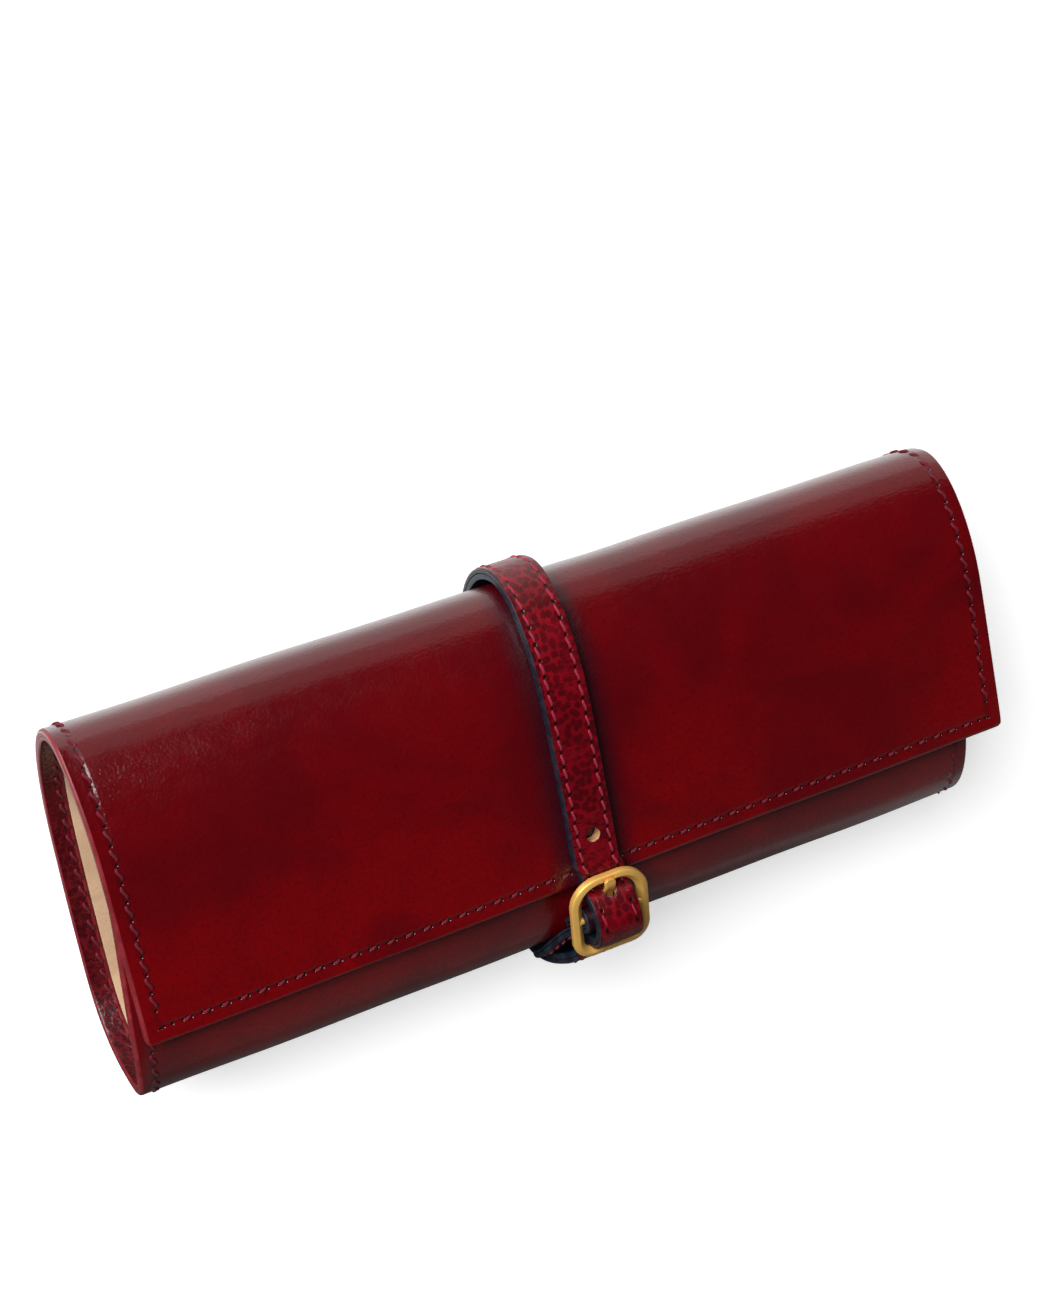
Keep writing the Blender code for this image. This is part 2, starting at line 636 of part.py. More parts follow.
def make_frame(materials):
    """The buckle's frame with its centre bar and a notch for the prong in the top bar."""
    outline = frame_outline()
    count = len(outline)
    bm = bmesh.new()
    rings = []
    half_w = FRAME_THICKNESS / 2
    for k, (x, v) in enumerate(outline):
        before, after = outline[k - 1], outline[(k + 1) % count]
        way = Vector((after[0] - before[0], after[1] - before[1])).normalized()
        out = Vector((way.y, -way.x))
        side = abs(out.x)
        half = (FRAME_BAR + (FRAME_SIDE - FRAME_BAR) * side) / 2
        shape_shares = ((1.0, 0.35), (0.5, 1.0), (-0.2, 1.0), (-1.0, 0.0), (-0.7, -1.0), (0.8, -1.0))
        ring = []
        for across, up in shape_shares:
            point = frame_point(v + across * half * out.y, up * half_w, x + across * half * out.x)
            ring.append(bm.verts.new(point))
        rings.append(ring)
    sides = len(rings[0])
    for a, b in zip(rings, rings[1:] + rings[:1]):
        for k in range(sides):
            j = (k + 1) % sides
            bm.faces.new((a[k], a[j], b[j], b[k]))
    frame = add_mesh("buckle_frame", bm, materials["gold"])
    reach = (FRAME_WIDTH - FRAME_SIDE) / 2
    bar = add_cutter("centre_bar", rod_bmesh(frame_point(0.0, 0.0, -reach), frame_point(0.0, 0.0, reach),
                                             CENTRE_BAR_RADIUS))
    boolean(frame, bar, "UNION")
    notch_half = PRONG_WIDTH / 2 + SEAT_GAP
    bm = box_bmesh((-notch_half, HALF_PITCH - FRAME_BAR, half_w - PRONG_NOTCH),
                   (notch_half, HALF_PITCH + PRONG_OVERHANG + SEAT_GAP, half_w + CUT_OVERRUN))
    turn = Matrix.Rotation(FRAME_TILT, 4, "X")
    bmesh.ops.transform(bm, matrix=Matrix.Translation(frame_point(0.0, 0.0)) @ turn, verts=bm.verts)
    boolean(frame, add_cutter("notch", bm))
    set_origin(frame, frame_point(0.0, 0.0))


def make_prong(materials):
    """The prong: an eye round the centre bar and a bent tongue that rests in the notch."""
    rest = FRAME_THICKNESS / 2 - PRONG_NOTCH + SEAT_GAP / 2 + PRONG_THICKNESS / 2
    line = [(EYE_RADIUS - EYE_WALL / 2, -PRONG_THICKNESS)]
    bend_shares = ((0.40, -1.0), (0.56, -0.5))
    line += [(HALF_PITCH * along, PRONG_THICKNESS * up) for along, up in bend_shares]
    line += [(HALF_PITCH * PRONG_REST_SHARE, rest), (HALF_PITCH + PRONG_OVERHANG, rest)]
    half = PRONG_THICKNESS / 2
    upper, lower = [], []
    for k, (v, w) in enumerate(line):
        before, after = line[max(k - 1, 0)], line[min(k + 1, len(line) - 1)]
        way = Vector((after[0] - before[0], after[1] - before[1])).normalized()
        upper.append((v - half * way.y, w + half * way.x))
        lower.append((v + half * way.y, w - half * way.x))
    start = math.atan2(upper[0][1], upper[0][0])
    end = math.atan2(lower[0][1], lower[0][0])
    around = []
    for k in range(EYE_STEPS + 1):
        angle = start + (2 * math.pi - (start - end)) * k / EYE_STEPS
        around.append((EYE_RADIUS * math.cos(angle), EYE_RADIUS * math.sin(angle)))
    outline = around + lower[1:] + list(reversed(upper[1:]))
    bm = bmesh.new()
    half_x = PRONG_WIDTH / 2
    left = [bm.verts.new(frame_point(v, w, -half_x)) for v, w in outline]
    right = [bm.verts.new(frame_point(v, w, half_x)) for v, w in outline]
    bm.faces.new(left)
    bm.faces.new(list(reversed(right)))
    for k in range(len(outline)):
        j = (k + 1) % len(outline)
        bm.faces.new((left[k], left[j], right[j], right[k]))
    prong = add_mesh("buckle_prong", bm, materials["gold"])
    bore = rod_bmesh(frame_point(0.0, 0.0, -PRONG_WIDTH), frame_point(0.0, 0.0, PRONG_WIDTH), LOOP_RADIUS)
    boolean(prong, add_cutter("prong_bore", bore))
    set_origin(prong, frame_point(0.0, 0.0))


def make_pocket(materials):
    """The zip pocket on the back's lining."""
    half = POCKET_LENGTH / 2
    floor = LINING_FACE + SEAT_GAP
    tape_y = POCKET_LOW_Y + POCKET_WIDTH + SEAT_GAP
    row_y = tape_y + TAPE_WIDTH + SEAT_GAP
    meet_y = row_y + TOOTH_ROW_WIDTH
    far_row_y = meet_y + SEAT_GAP
    far_tape_y = far_row_y + TOOTH_ROW_WIDTH + SEAT_GAP
    box("zip_pocket", (-half, POCKET_LOW_Y, floor),
        (half, POCKET_LOW_Y + POCKET_WIDTH, floor + POCKET_THICKNESS), materials["suede"])
    for name, low in (("zip_tape_lower", tape_y), ("zip_tape_upper", far_tape_y)):
        box(name, (-half, low, floor), (half, low + TAPE_WIDTH, floor + TAPE_THICKNESS),
            materials["zip_tape"])
    inner = half - STOP_LENGTH - SEAT_GAP
    for name, low in (("zip_teeth_lower", row_y), ("zip_teeth_upper", far_row_y)):
        box(name, (-inner, low, floor), (inner, low + TOOTH_ROW_WIDTH, floor + TOOTH_HEIGHT),
            materials["gold"])
    for name, low in (("zip_stop_left", -half), ("zip_stop_right", half - STOP_LENGTH)):
        box(name, (low, row_y, floor),
            (low + STOP_LENGTH, far_row_y + TOOTH_ROW_WIDTH, floor + TOOTH_HEIGHT), materials["gold"])
    middle_y = (meet_y + far_row_y) / 2
    make_slider(materials, middle_y, floor)


def make_slider(materials, middle_y, floor):
    """The zip's slider, a cover over both rows with a lug, and its pull, which lies flat."""
    reach = TOOTH_ROW_WIDTH + SEAT_GAP / 2 + SEAT_GAP
    low = floor + TAPE_THICKNESS + SEAT_GAP
    top = floor + TOOTH_HEIGHT + SEAT_GAP
    half = SLIDER_LENGTH / 2
    wall = SLIDER_WALL
    slider = box("zip_slider", (SLIDER_PLACE - half, middle_y - reach - wall, low),
                 (SLIDER_PLACE + half, middle_y + reach + wall, top + wall), materials["gold"])
    channel = box_bmesh((SLIDER_PLACE - half - CUT_OVERRUN, middle_y - reach, low - CUT_OVERRUN),
                        (SLIDER_PLACE + half + CUT_OVERRUN, middle_y + reach, top))
    boolean(slider, add_cutter("slider_channel", channel))
    lug_half = LUG_LENGTH / 2
    lug = box_bmesh((SLIDER_PLACE - lug_half, middle_y - LUG_WIDTH / 2, top + wall / 2),
                    (SLIDER_PLACE + lug_half, middle_y + LUG_WIDTH / 2, top + wall + LUG_HEIGHT))
    boolean(slider, add_cutter("slider_lug", lug), "UNION")
    eye_half = LUG_LENGTH / 2 - wall
    eye = box_bmesh((SLIDER_PLACE - eye_half, middle_y - LUG_WIDTH, top + wall),
                    (SLIDER_PLACE + eye_half, middle_y + LUG_WIDTH, top + LUG_HEIGHT))
    boolean(slider, add_cutter("slider_eye", eye))
    set_origin(slider, (SLIDER_PLACE, middle_y, floor))
    pull_z = top + wall + SEAT_GAP
    pull = box("zip_pull", (SLIDER_PLACE - wall / 2, middle_y - PULL_WIDTH / 2, pull_z),
               (SLIDER_PLACE - wall / 2 + PULL_LENGTH, middle_y + PULL_WIDTH / 2, pull_z + PULL_THICKNESS),
               materials["gold"])
    hole_y = LUG_WIDTH / 2 + SEAT_GAP
    hole = box_bmesh((SLIDER_PLACE + wall / 2, middle_y - hole_y, pull_z - CUT_OVERRUN),
                     (SLIDER_PLACE + wall / 2 + PULL_HOLE_LENGTH, middle_y + hole_y, pull_z + CUT_OVERRUN))
    boolean(pull, add_cutter("pull_hole", hole))
    set_origin(pull, (SLIDER_PLACE, middle_y, pull_z + PULL_THICKNESS / 2))


def make_ring_bar(materials):
    """The ring bar over the pocket: a padded bar on a sewn tab, closed by a press stud."""
    deck = LINING_FACE + SEAT_GAP + POCKET_THICKNESS + SEAT_GAP
    height = deck + BAR_RADIUS
    left = BAR_CENTRE_X - BAR_LENGTH / 2
    right = BAR_CENTRE_X + BAR_LENGTH / 2
    hinge = (left - SEAT_GAP, BAR_CENTRE_Y, height)
    bm = rod_bmesh((left, BAR_CENTRE_Y, height), (right, BAR_CENTRE_Y, height), BAR_RADIUS, 20)
    rims = [e for e in bm.edges if abs(e.verts[0].co.x - e.verts[1].co.x) < SEAT_GAP]
    bmesh.ops.bevel(bm, geom=rims, offset=BAR_ROUNDING, segments=2, affect="EDGES")
    bar = add_mesh("ring_bar", bm, materials["suede"])
    set_origin(bar, hinge)
    half = TAB_WIDTH / 2
    thick = TAB_THICKNESS / 2
    tab = box("ring_bar_tab", (right + SEAT_GAP, BAR_CENTRE_Y - half, height - thick),
              (right + TAB_LENGTH, BAR_CENTRE_Y + half, height + thick), materials["grain_leather"])
    set_origin(tab, hinge)
    make_hinge_tab(materials, left - SEAT_GAP, deck, height)
    make_press_stud(materials, right + TAB_LENGTH - TAB_WIDTH / 2, deck, height, hinge)


def make_hinge_tab(materials, right, deck, height):
    """The tab that holds the ring bar's left end, sewn to the pocket and rising to the bar."""
    low = deck + TAB_THICKNESS / 2
    shares = ((0.0, 0.0), (0.45, 0.0), (0.6, 0.12), (0.75, 0.55), (0.88, 0.93), (1.0, 1.0))
    line = []
    for along, up in shares:
        x = right - HINGE_TAB_LENGTH * (1.0 - along)
        line.append(Vector((BAR_CENTRE_Y, x, low + (height - low) * up)))
    places = [(p[0], p[1], p[2], n1, n2) for p, (n1, n2) in zip(line, normals_along(line))]
    bm = slab_bmesh(places, -TAB_THICKNESS / 2, TAB_THICKNESS / 2, -TAB_WIDTH / 2, TAB_WIDTH / 2)
    for vert in bm.verts:
        vert.co = Vector((vert.co.y, vert.co.x, vert.co.z))
    add_mesh("ring_bar_hinge_tab", bm, materials["grain_leather"])


def normals_along(line):
    """Normals of a line that runs in the second and third directions."""
    pairs = []
    for k in range(len(line)):
        way = line[min(k + 1, len(line) - 1)] - line[max(k - 1, 0)]
        way.normalize()
        pairs.append((-way.z, way.y))
    return pairs


def make_press_stud(materials, x, deck, height, hinge):
    """The press stud: a post on a sewn patch, and a socket and cap on the bar's tab."""
    half = PATCH_LENGTH / 2
    patch_top = deck + TAB_THICKNESS
    box("press_stud_patch", (x - half, BAR_CENTRE_Y - TAB_WIDTH / 2, deck),
        (x + half, BAR_CENTRE_Y + TAB_WIDTH / 2, patch_top), materials["grain_leather"])
    base = patch_top + SEAT_GAP
    socket_low = base + STUD_FLANGE_HEIGHT + SEAT_GAP
    socket_high = height - TAB_THICKNESS / 2 - SEAT_GAP - socket_low
    roof = socket_high - STUD_FLANGE_HEIGHT
    post_high = socket_low + roof - SEAT_GAP - base
    turned("press_stud_post", (x, BAR_CENTRE_Y, base),
           [(STUD_SOCKET_RADIUS, 0.0), (STUD_SOCKET_RADIUS, STUD_FLANGE_HEIGHT),
            (STUD_POST_RADIUS, STUD_FLANGE_HEIGHT), (STUD_POST_RADIUS, post_high)], materials["gold"])
    inner = STUD_POST_RADIUS + SEAT_GAP
    socket = turned("press_stud_socket", (x, BAR_CENTRE_Y, socket_low),
                    [(inner, roof), (inner, 0.0), (STUD_SOCKET_RADIUS, 0.0),
                     (STUD_SOCKET_RADIUS, socket_high)], materials["gold"])
    cap_low = height + TAB_THICKNESS / 2 + SEAT_GAP
    cap_shares = ((1.0, 0.0), (1.0, 0.5), (0.85, 0.85), (0.5, 1.0))
    cap = turned("press_stud_cap", (x, BAR_CENTRE_Y, cap_low),
                 [(STUD_CAP_RADIUS * out, STUD_CAP_HEIGHT * up) for out, up in cap_shares],
                 materials["gold"])
    for piece in (socket, cap):
        set_origin(piece, hinge)


def main():
    clear_scene()
    materials = make_materials()
    make_sheet(materials)
    make_strap(materials)
    make_carrier(materials)
    make_frame(materials)
    make_prong(materials)
    make_pocket(materials)
    make_ring_bar(materials)


main()
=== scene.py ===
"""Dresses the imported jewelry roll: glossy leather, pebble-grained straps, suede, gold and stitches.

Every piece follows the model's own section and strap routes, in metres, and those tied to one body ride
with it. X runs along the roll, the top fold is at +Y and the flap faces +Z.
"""
import math
from functools import partialmethod
from itertools import accumulate
from math import cos, pi, radians, sin, sqrt

import bmesh
import bpy
import numpy as np
from mathutils import Matrix, Vector


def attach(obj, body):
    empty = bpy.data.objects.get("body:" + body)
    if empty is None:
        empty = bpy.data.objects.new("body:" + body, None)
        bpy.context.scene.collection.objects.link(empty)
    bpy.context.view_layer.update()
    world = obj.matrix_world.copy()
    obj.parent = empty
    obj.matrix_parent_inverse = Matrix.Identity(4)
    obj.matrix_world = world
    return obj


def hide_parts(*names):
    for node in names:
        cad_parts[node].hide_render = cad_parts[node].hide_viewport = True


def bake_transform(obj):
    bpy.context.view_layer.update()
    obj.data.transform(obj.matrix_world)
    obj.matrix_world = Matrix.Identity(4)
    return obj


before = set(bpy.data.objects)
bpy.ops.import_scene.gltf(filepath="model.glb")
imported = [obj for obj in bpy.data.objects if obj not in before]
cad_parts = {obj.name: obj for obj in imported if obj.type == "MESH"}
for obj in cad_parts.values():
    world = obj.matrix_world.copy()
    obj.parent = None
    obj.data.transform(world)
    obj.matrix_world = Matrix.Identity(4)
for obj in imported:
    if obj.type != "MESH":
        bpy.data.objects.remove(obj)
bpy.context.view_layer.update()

# Sheet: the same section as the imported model
ROLL_LENGTH = 0.230
ROLL_WIDTH = 0.095
TOP_LOWER = (0.038, 0.0303)
TOP_UPPER = (0.032, 0.0172)
BOTTOM_LOWER = (0.0231, 0.0242)
BOTTOM_UPPER = (0.0235, 0.0177)
FLAP_REACH = 0.0408
FLAP_DROP = 0.0007
FRONT_REACH = 0.0322
FRONT_RISE = 0.0016
LEFT_SKEW_SHARES = ((0.0, 0.0156), (0.15, -0.0009), (0.23, 0.0), (0.31, -0.0052), (0.44, -0.0022),
                    (0.80, 0.0126), (1.0, 0.0117))
RIGHT_SKEW_SHARES = ((0.0, -0.0039), (0.15, -0.0143), (0.44, -0.0023), (1.0, 0.0211))
BAND_WIDTH = 0.0056
FACING_WIDTH = 0.011
SEAT_GAP = 0.0003
SHEET_STEP = 0.0011
HALF_LENGTH = ROLL_LENGTH / 2

# Depths of the layers under the outer face; they close up to hairlines here
LEATHER_INNER = -0.00178
LAYER_TOP = -0.00180
LINING_INNER = -0.00260
BAND_INNER = -0.00280

# How round the layers' edges are, at the outer and the inner face, and the leather's corners
LEATHER_EDGES = (0.0008, 0.0002)
LINING_EDGES = (0.0001, 0.0003)
BAND_EDGES = (0.0001, 0.0006)
SHEET_CORNER = 0.0016
FACING_CORNER = 0.0001

# The flap reaches this much further at its left corner
FLAP_OVERREACH = 0.0011

# Stitch rows: insets, pitches, holes, and how high over the outer face their threads end
EDGE_ROW = 0.0040
EDGE_PITCH = 0.00455
STRAP_ROW = 0.0018
STRAP_PITCH = 0.0037
FOOT_SPREAD = 0.00105
EDGE_HOLE = 0.00052
STRAP_HOLE = 0.00060
ROW_END = 0.0005
ON_FACE = 0.00002
UNDER_BACK = -0.00045

# Where the strap's middle lies over the flap, as (developed length, x) at two places
STRAP_DRIFT = ((0.162, 0.0009), (0.270, -0.0019))

# Straps and buckle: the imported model's routes, with less slack over the fold and a wider loop
STRAP_WIDTH = 0.0116
STRAP_FACE = 0.0010
STRAP_BACKING = 0.0015
FIXED_BACKING = 0.0007
STRAP_CENTRE_X = 0.00185
STRAP_SLACK = 0.0015
STRAP_ANCHOR_SHARE = 0.34
TIP_START_INSET = 0.0058
TIP_SLACK = 0.0010
TIP_LENGTH_SHARE = 0.36
TIP_ROUNDING = 0.0045
HOLE_RADIUS = 0.0018
HOLE_PITCH = 0.0184
ROUTE_STEP = 0.0008
BUCKLE_ASIDE = 0.00095
FRAME_WIDTH = 0.0207
FRAME_LENGTH = 0.0230
FRAME_BAR = 0.0024
FRAME_SIDE = 0.0030
FRAME_THICKNESS = 0.0022
FRAME_CORNERS = (0.0064, 0.0064, 0.0040, 0.0040)
FRAME_TILT = radians(14.0)
TOP_BAR_INSET = 0.0002
TOP_BAR_RISE = 0.0097
CENTRE_BAR_RADIUS = 0.0009
BAR_CLEARANCE = 0.00035
PRONG_WIDTH = 0.0029
PRONG_THICKNESS = 0.0009
PRONG_NOTCH = 0.0004
PRONG_OVERHANG = 0.0005
PRONG_CROSS_SHARE = 0.46
PRONG_REST_SHARE = 0.84
EYE_WALL = 0.0008
SLOT_CLEARANCE = 0.0004
CARRIER_START_ASIDE = 0.0060
CARRIER_LEAVE_ASIDE = 0.0068
CARRIER_ANCHOR_SHARE = 0.34
CARRIER_LEAVE_SHARE = 0.14
CARRIER_SLACK = 0.0010
CARRIER_APPROACH = radians(60.0)
CARRIER_FOLD_BACK = 0.0088
CARRIER_CUT_SHARE = 0.12
LOOP_SPREAD = 1.19
LOOP_ASIDE = 0.0006
HOLE_PAST_CROSSING = 0.0005
PLY_GAP = 0.00012
FACE_CROWN = 0.00012
FIRST_STITCH = 0.0020
LAST_STITCH_INSET = 0.0060

# A strap thread's radius, rise and slant
STRAP_THREAD = (0.00035, 0.00024, 0.00022)

# Where the closing strap's loose part starts, and a height listed in the fixed strap's hold
LIFT_START_Y = 0.024
LIFT_BEND_HEIGHT = 0.008

# Where the folds bend, as heights over the floor
TOP_BEND = (0.0030, 0.0438)
BOTTOM_BEND = (0.0060, 0.0260)

BACK_START_Y = -ROLL_WIDTH / 2 + BOTTOM_LOWER[0]
BACK_END_Y = ROLL_WIDTH / 2 - TOP_LOWER[0]
FLAP_START_Y = ROLL_WIDTH / 2 - TOP_UPPER[0]
FRONT_START_Y = -ROLL_WIDTH / 2 + BOTTOM_UPPER[0]
FRONT_TOP_Z = BOTTOM_LOWER[1] + BOTTOM_UPPER[1]
FLAP_TOP_Z = TOP_LOWER[1] + TOP_UPPER[1]
TIP_START_Y = FLAP_START_Y - FLAP_REACH + TIP_START_INSET
STRAP_THICKNESS = STRAP_FACE + SEAT_GAP + STRAP_BACKING
FIXED_THICKNESS = STRAP_FACE + SEAT_GAP + FIXED_BACKING
HALF_PITCH = (FRAME_LENGTH - FRAME_BAR) / 2
FRAME_V = Vector((0.0, cos(FRAME_TILT), sin(FRAME_TILT)))
FRAME_W = Vector((0.0, -sin(FRAME_TILT), cos(FRAME_TILT)))
LOOP_RADIUS = CENTRE_BAR_RADIUS + BAR_CLEARANCE
EYE_RADIUS = LOOP_RADIUS + EYE_WALL


def quarter(centre, radii, start, end, steps=48):
    angles = np.linspace(start, end, steps + 1)
    return [(centre[0] + radii[0] * cos(a), centre[1] + radii[1] * sin(a)) for a in angles]


def build_section(steps=24):
    """The sheet's outer line, outward normals, developed lengths, and where its zones meet."""
    half = ROLL_WIDTH / 2
    shares = np.linspace(0.0, 1.0, steps + 1)
    zones = [
        [(FRONT_START_Y + FRONT_REACH * (1 - t), FRONT_TOP_Z + FRONT_RISE * (1 - cos((1 - t) * pi / 2)))
         for t in shares],
        quarter((FRONT_START_Y, BOTTOM_LOWER[1]), BOTTOM_UPPER, pi / 2, pi),
        quarter((BACK_START_Y, BOTTOM_LOWER[1]), BOTTOM_LOWER, pi, 3 * pi / 2),
        [(BACK_START_Y + (BACK_END_Y - BACK_START_Y) * t, 0.0) for t in shares],
        quarter((BACK_END_Y, TOP_LOWER[1]), (half - BACK_END_Y, TOP_LOWER[1]), -pi / 2, 0.0),
        quarter((FLAP_START_Y, TOP_LOWER[1]), (half - FLAP_START_Y, TOP_UPPER[1]), 0.0, pi / 2),
        [(FLAP_START_Y - FLAP_REACH * t, FLAP_TOP_Z - FLAP_DROP * t ** 2) for t in shares],
        [(FLAP_START_Y - FLAP_REACH * t, FLAP_TOP_Z - FLAP_DROP * t ** 2) for t in (1.0, 1.02, 1.05)],
    ]
    points = [zones[0][0]]
    joins = [0]
    for zone in zones:
        points.extend(zone[1:])
        joins.append(len(points) - 1)
    line = np.array(points)
    lengths = np.concatenate([[0.0], np.cumsum(np.hypot(*np.diff(line, axis=0).T))])
    tangents = np.gradient(line, lengths, axis=0)
    tangents /= np.linalg.norm(tangents, axis=1)[:, None]
    normals = np.column_stack([tangents[:, 1], -tangents[:, 0]])
    return line, normals, lengths, [lengths[j] for j in joins]


LINE, NORMALS, LENGTHS, JOINS = build_section()
S_FRONT_END, S_FOLD_MID, S_BACK_START, S_BACK_END, S_TOP_MID, S_FLAP_START, S_FLAP_END = JOINS[1:8]


def smoothstep(value, low, high):
    t = np.clip((value - low) / (high - low), 0.0, 1.0)
    return t * t * (3 - 2 * t)


def shift_at(x, length):
    """How far along X the sheet has moved here; the kinks between its tables are smoothed."""
    ends = []
    for table in (LEFT_SKEW_SHARES, RIGHT_SKEW_SHARES):
        around = [np.asarray(length) / S_FLAP_END + off for off in np.linspace(-0.035, 0.035, 9)]
        ends.append(ROLL_LENGTH * np.mean([np.interp(a, *zip(*table)) for a in around], axis=0))
    return ends[0] + (ends[1] - ends[0]) * (x / ROLL_LENGTH + 0.5)


def ripple(x, length):
    """The leather's slight waviness: none on the resting back or under the straps."""
    wave = (0.16 * np.sin(x * 47.0 + 0.8) * np.sin(length * 61.0 + 0.5)
            + 0.10 * np.sin(x * 113.0 + length * 37.0 + 2.0)
            + 0.05 * np.sin(x * 31.0 - length * 149.0 + 1.1))
    strap = smoothstep(np.abs(x - STRAP_CENTRE_X), 0.008, 0.026)
    off_back = 1.0 - smoothstep(length, S_BACK_START - 0.020, S_BACK_START) \
        * (1.0 - smoothstep(length, S_BACK_END, S_BACK_END + 0.020))
    return 0.001 * wave * strap * off_back


def on_sheet(x, length, height):
    """World points: x along the roll, developed length, and height over the outer face."""
    x, length, height = np.broadcast_arrays(*(np.asarray(v, float) for v in (x, length, height)))
    share = np.clip((length - S_FLAP_START) / (S_FLAP_END - S_FLAP_START), 0.0, 1.0)
    length = length + FLAP_OVERREACH * share * (0.5 - x / ROLL_LENGTH)
    y, z = (np.interp(length, LENGTHS, LINE[:, k]) for k in (0, 1))
    ny, nz = (np.interp(length, LENGTHS, NORMALS[:, k]) for k in (0, 1))
    size = np.hypot(ny, nz)
    lift = height + ripple(x, length)
    return np.stack([x + shift_at(x, length), y + lift * ny / size, z + lift * nz / size], axis=-1)


def add_object(name, data):
    thing = bpy.data.objects.new(name, data)
    bpy.context.scene.collection.objects.link(thing)
    return thing


def add_piece(name, verts, faces, materials, slots=None, flats=None, smooth_angle=50.0):
    """A mesh object with outward faces and smooth shading. Slots say each face's material, if it has two."""
    mesh = bpy.data.meshes.new(name)
    mesh.from_pydata([tuple(v) for v in verts], [], faces)
    for material in materials:
        mesh.materials.append(material)
    if slots is not None and len(materials) > 1:
        mesh.polygons.foreach_set("material_index", slots)
    if flats is not None:
        attribute = mesh.attributes.new("flat", "FLOAT_VECTOR", "POINT")
        attribute.data.foreach_set("vector", np.asarray(flats, np.float32).ravel())
    bm = bmesh.new()
    bm.from_mesh(mesh)
    bmesh.ops.recalc_face_normals(bm, faces=bm.faces)
    bm.to_mesh(mesh)
    bm.free()
    mesh.shade_smooth()
    mesh.set_sharp_from_angle(angle=radians(smooth_angle))
    return add_object(name, mesh)


def settle(piece, hold, slot, *nodes):
    """Ties a piece to a body; given two bodies and two places instead, it leaves the piece fixed where it is."""
    if isinstance(hold, str):
        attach(piece, hold)
    else:
        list(hold[:2])
        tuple(hold[2])
        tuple(hold[3])
        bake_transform(piece)
    if nodes:
        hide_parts(*nodes)


def loft_faces(rings, around, closed=False):
    """Quads between rings of points, and caps unless the rings close on themselves."""
    faces = []
    last = rings if closed else rings - 1
    for i in range(last):
        a, b = i * around, (i + 1) % rings * around
        for k in range(around):
            j = (k + 1) % around
            faces.append((a + k, a + j, b + j, b + k))
    if not closed:
        faces.append(tuple(range(around)))
        faces.append(tuple(range((rings - 1) * around, rings * around)))
    return faces


def tube(name, material, rings, around, point, smooth_angle=50.0):
    """A round piece; point gives the place on each ring at each angle."""
    verts = [point(k, 2 * pi * j / around) for k in range(rings) for j in range(around)]
    return add_piece(name, verts, loft_faces(rings, around), [material], smooth_angle=smooth_angle)


def corner_inset(distance, radius):
    """How far a rounded corner draws in at this distance from the end."""
    if distance >= radius or radius <= 0.0:
        return 0.0
    return radius - sqrt(max(radius ** 2 - (radius - distance) ** 2, 0.0))


def slab_loop(x0, x1, low, top, r_top, r_low, columns, arc=4):
    """A slab's cross-section: points (x, height) and whether each segment is on its edge."""
    r_top = min(r_top, (top - low) * 0.9)
    r_low = min(r_low, (top - low) - r_top - 1e-6)
    r_top, r_low = max(r_top, 1e-6), max(r_low, 1e-6)
    points, edge = [], []

    def arc_points(cx, ch, radius, start, end):
        for k in range(arc + 1):
            a = radians(start + (end - start) * k / arc)
            points.append((cx + radius * cos(a), ch + radius * sin(a)))
            edge.append(k > 0)

    for x in np.linspace(x0 + r_top, x1 - r_top, columns)[:-1]:
        points.append((x, top))
        edge.append(False)
    arc_points(x1 - r_top, top - r_top, r_top, 90, 0)
    arc_points(x1 - r_low, low + r_low, r_low, 0, -90)
    for x in np.linspace(x1 - r_low, x0 + r_low, columns)[1:-1]:
        points.append((x, low))
        edge.append(False)
    arc_points(x0 + r_low, low + r_low, r_low, 270, 180)
    arc_points(x0 + r_top, top - r_top, r_top, 180, 90)
    edge[-1] = False
    return points, edge


def rounded_outline(x0, x1, y0, y1, radii, steps=8, straight=1):
    """A rectangle with rounded corners, anticlockwise from the right side; the radii start at its
    top right. Its straight sides have this many steps."""
    corners = ((x1, y1, -1, -1), (x0, y1, 1, -1), (x0, y0, 1, 1), (x1, y0, -1, 1))
    arcs = []
    for number, ((x, y, sx, sy), radius) in enumerate(zip(corners, radii)):
        angles = [pi / 2 * (number + k / steps) for k in range(steps + 1)]
        arcs.append([(x + sx * radius + radius * cos(a), y + sy * radius + radius * sin(a))
                     for a in angles])
    outline = []
    for arc, after in zip(arcs, arcs[1:] + arcs[:1]):
        outline.extend(arc)
        (xa, ya), (xb, yb) = arc[-1], after[0]
        for k in range(1, straight):
            t = k / straight
            outline.append((xa + (xb - xa) * t, ya + (yb - ya) * t))
    return outline


def end_steps(reach, steps=5):
    """Distances from a rounded end, closer together towards it."""
    return [reach * (1 - cos(pi / 2 * k / steps)) for k in range(steps)]


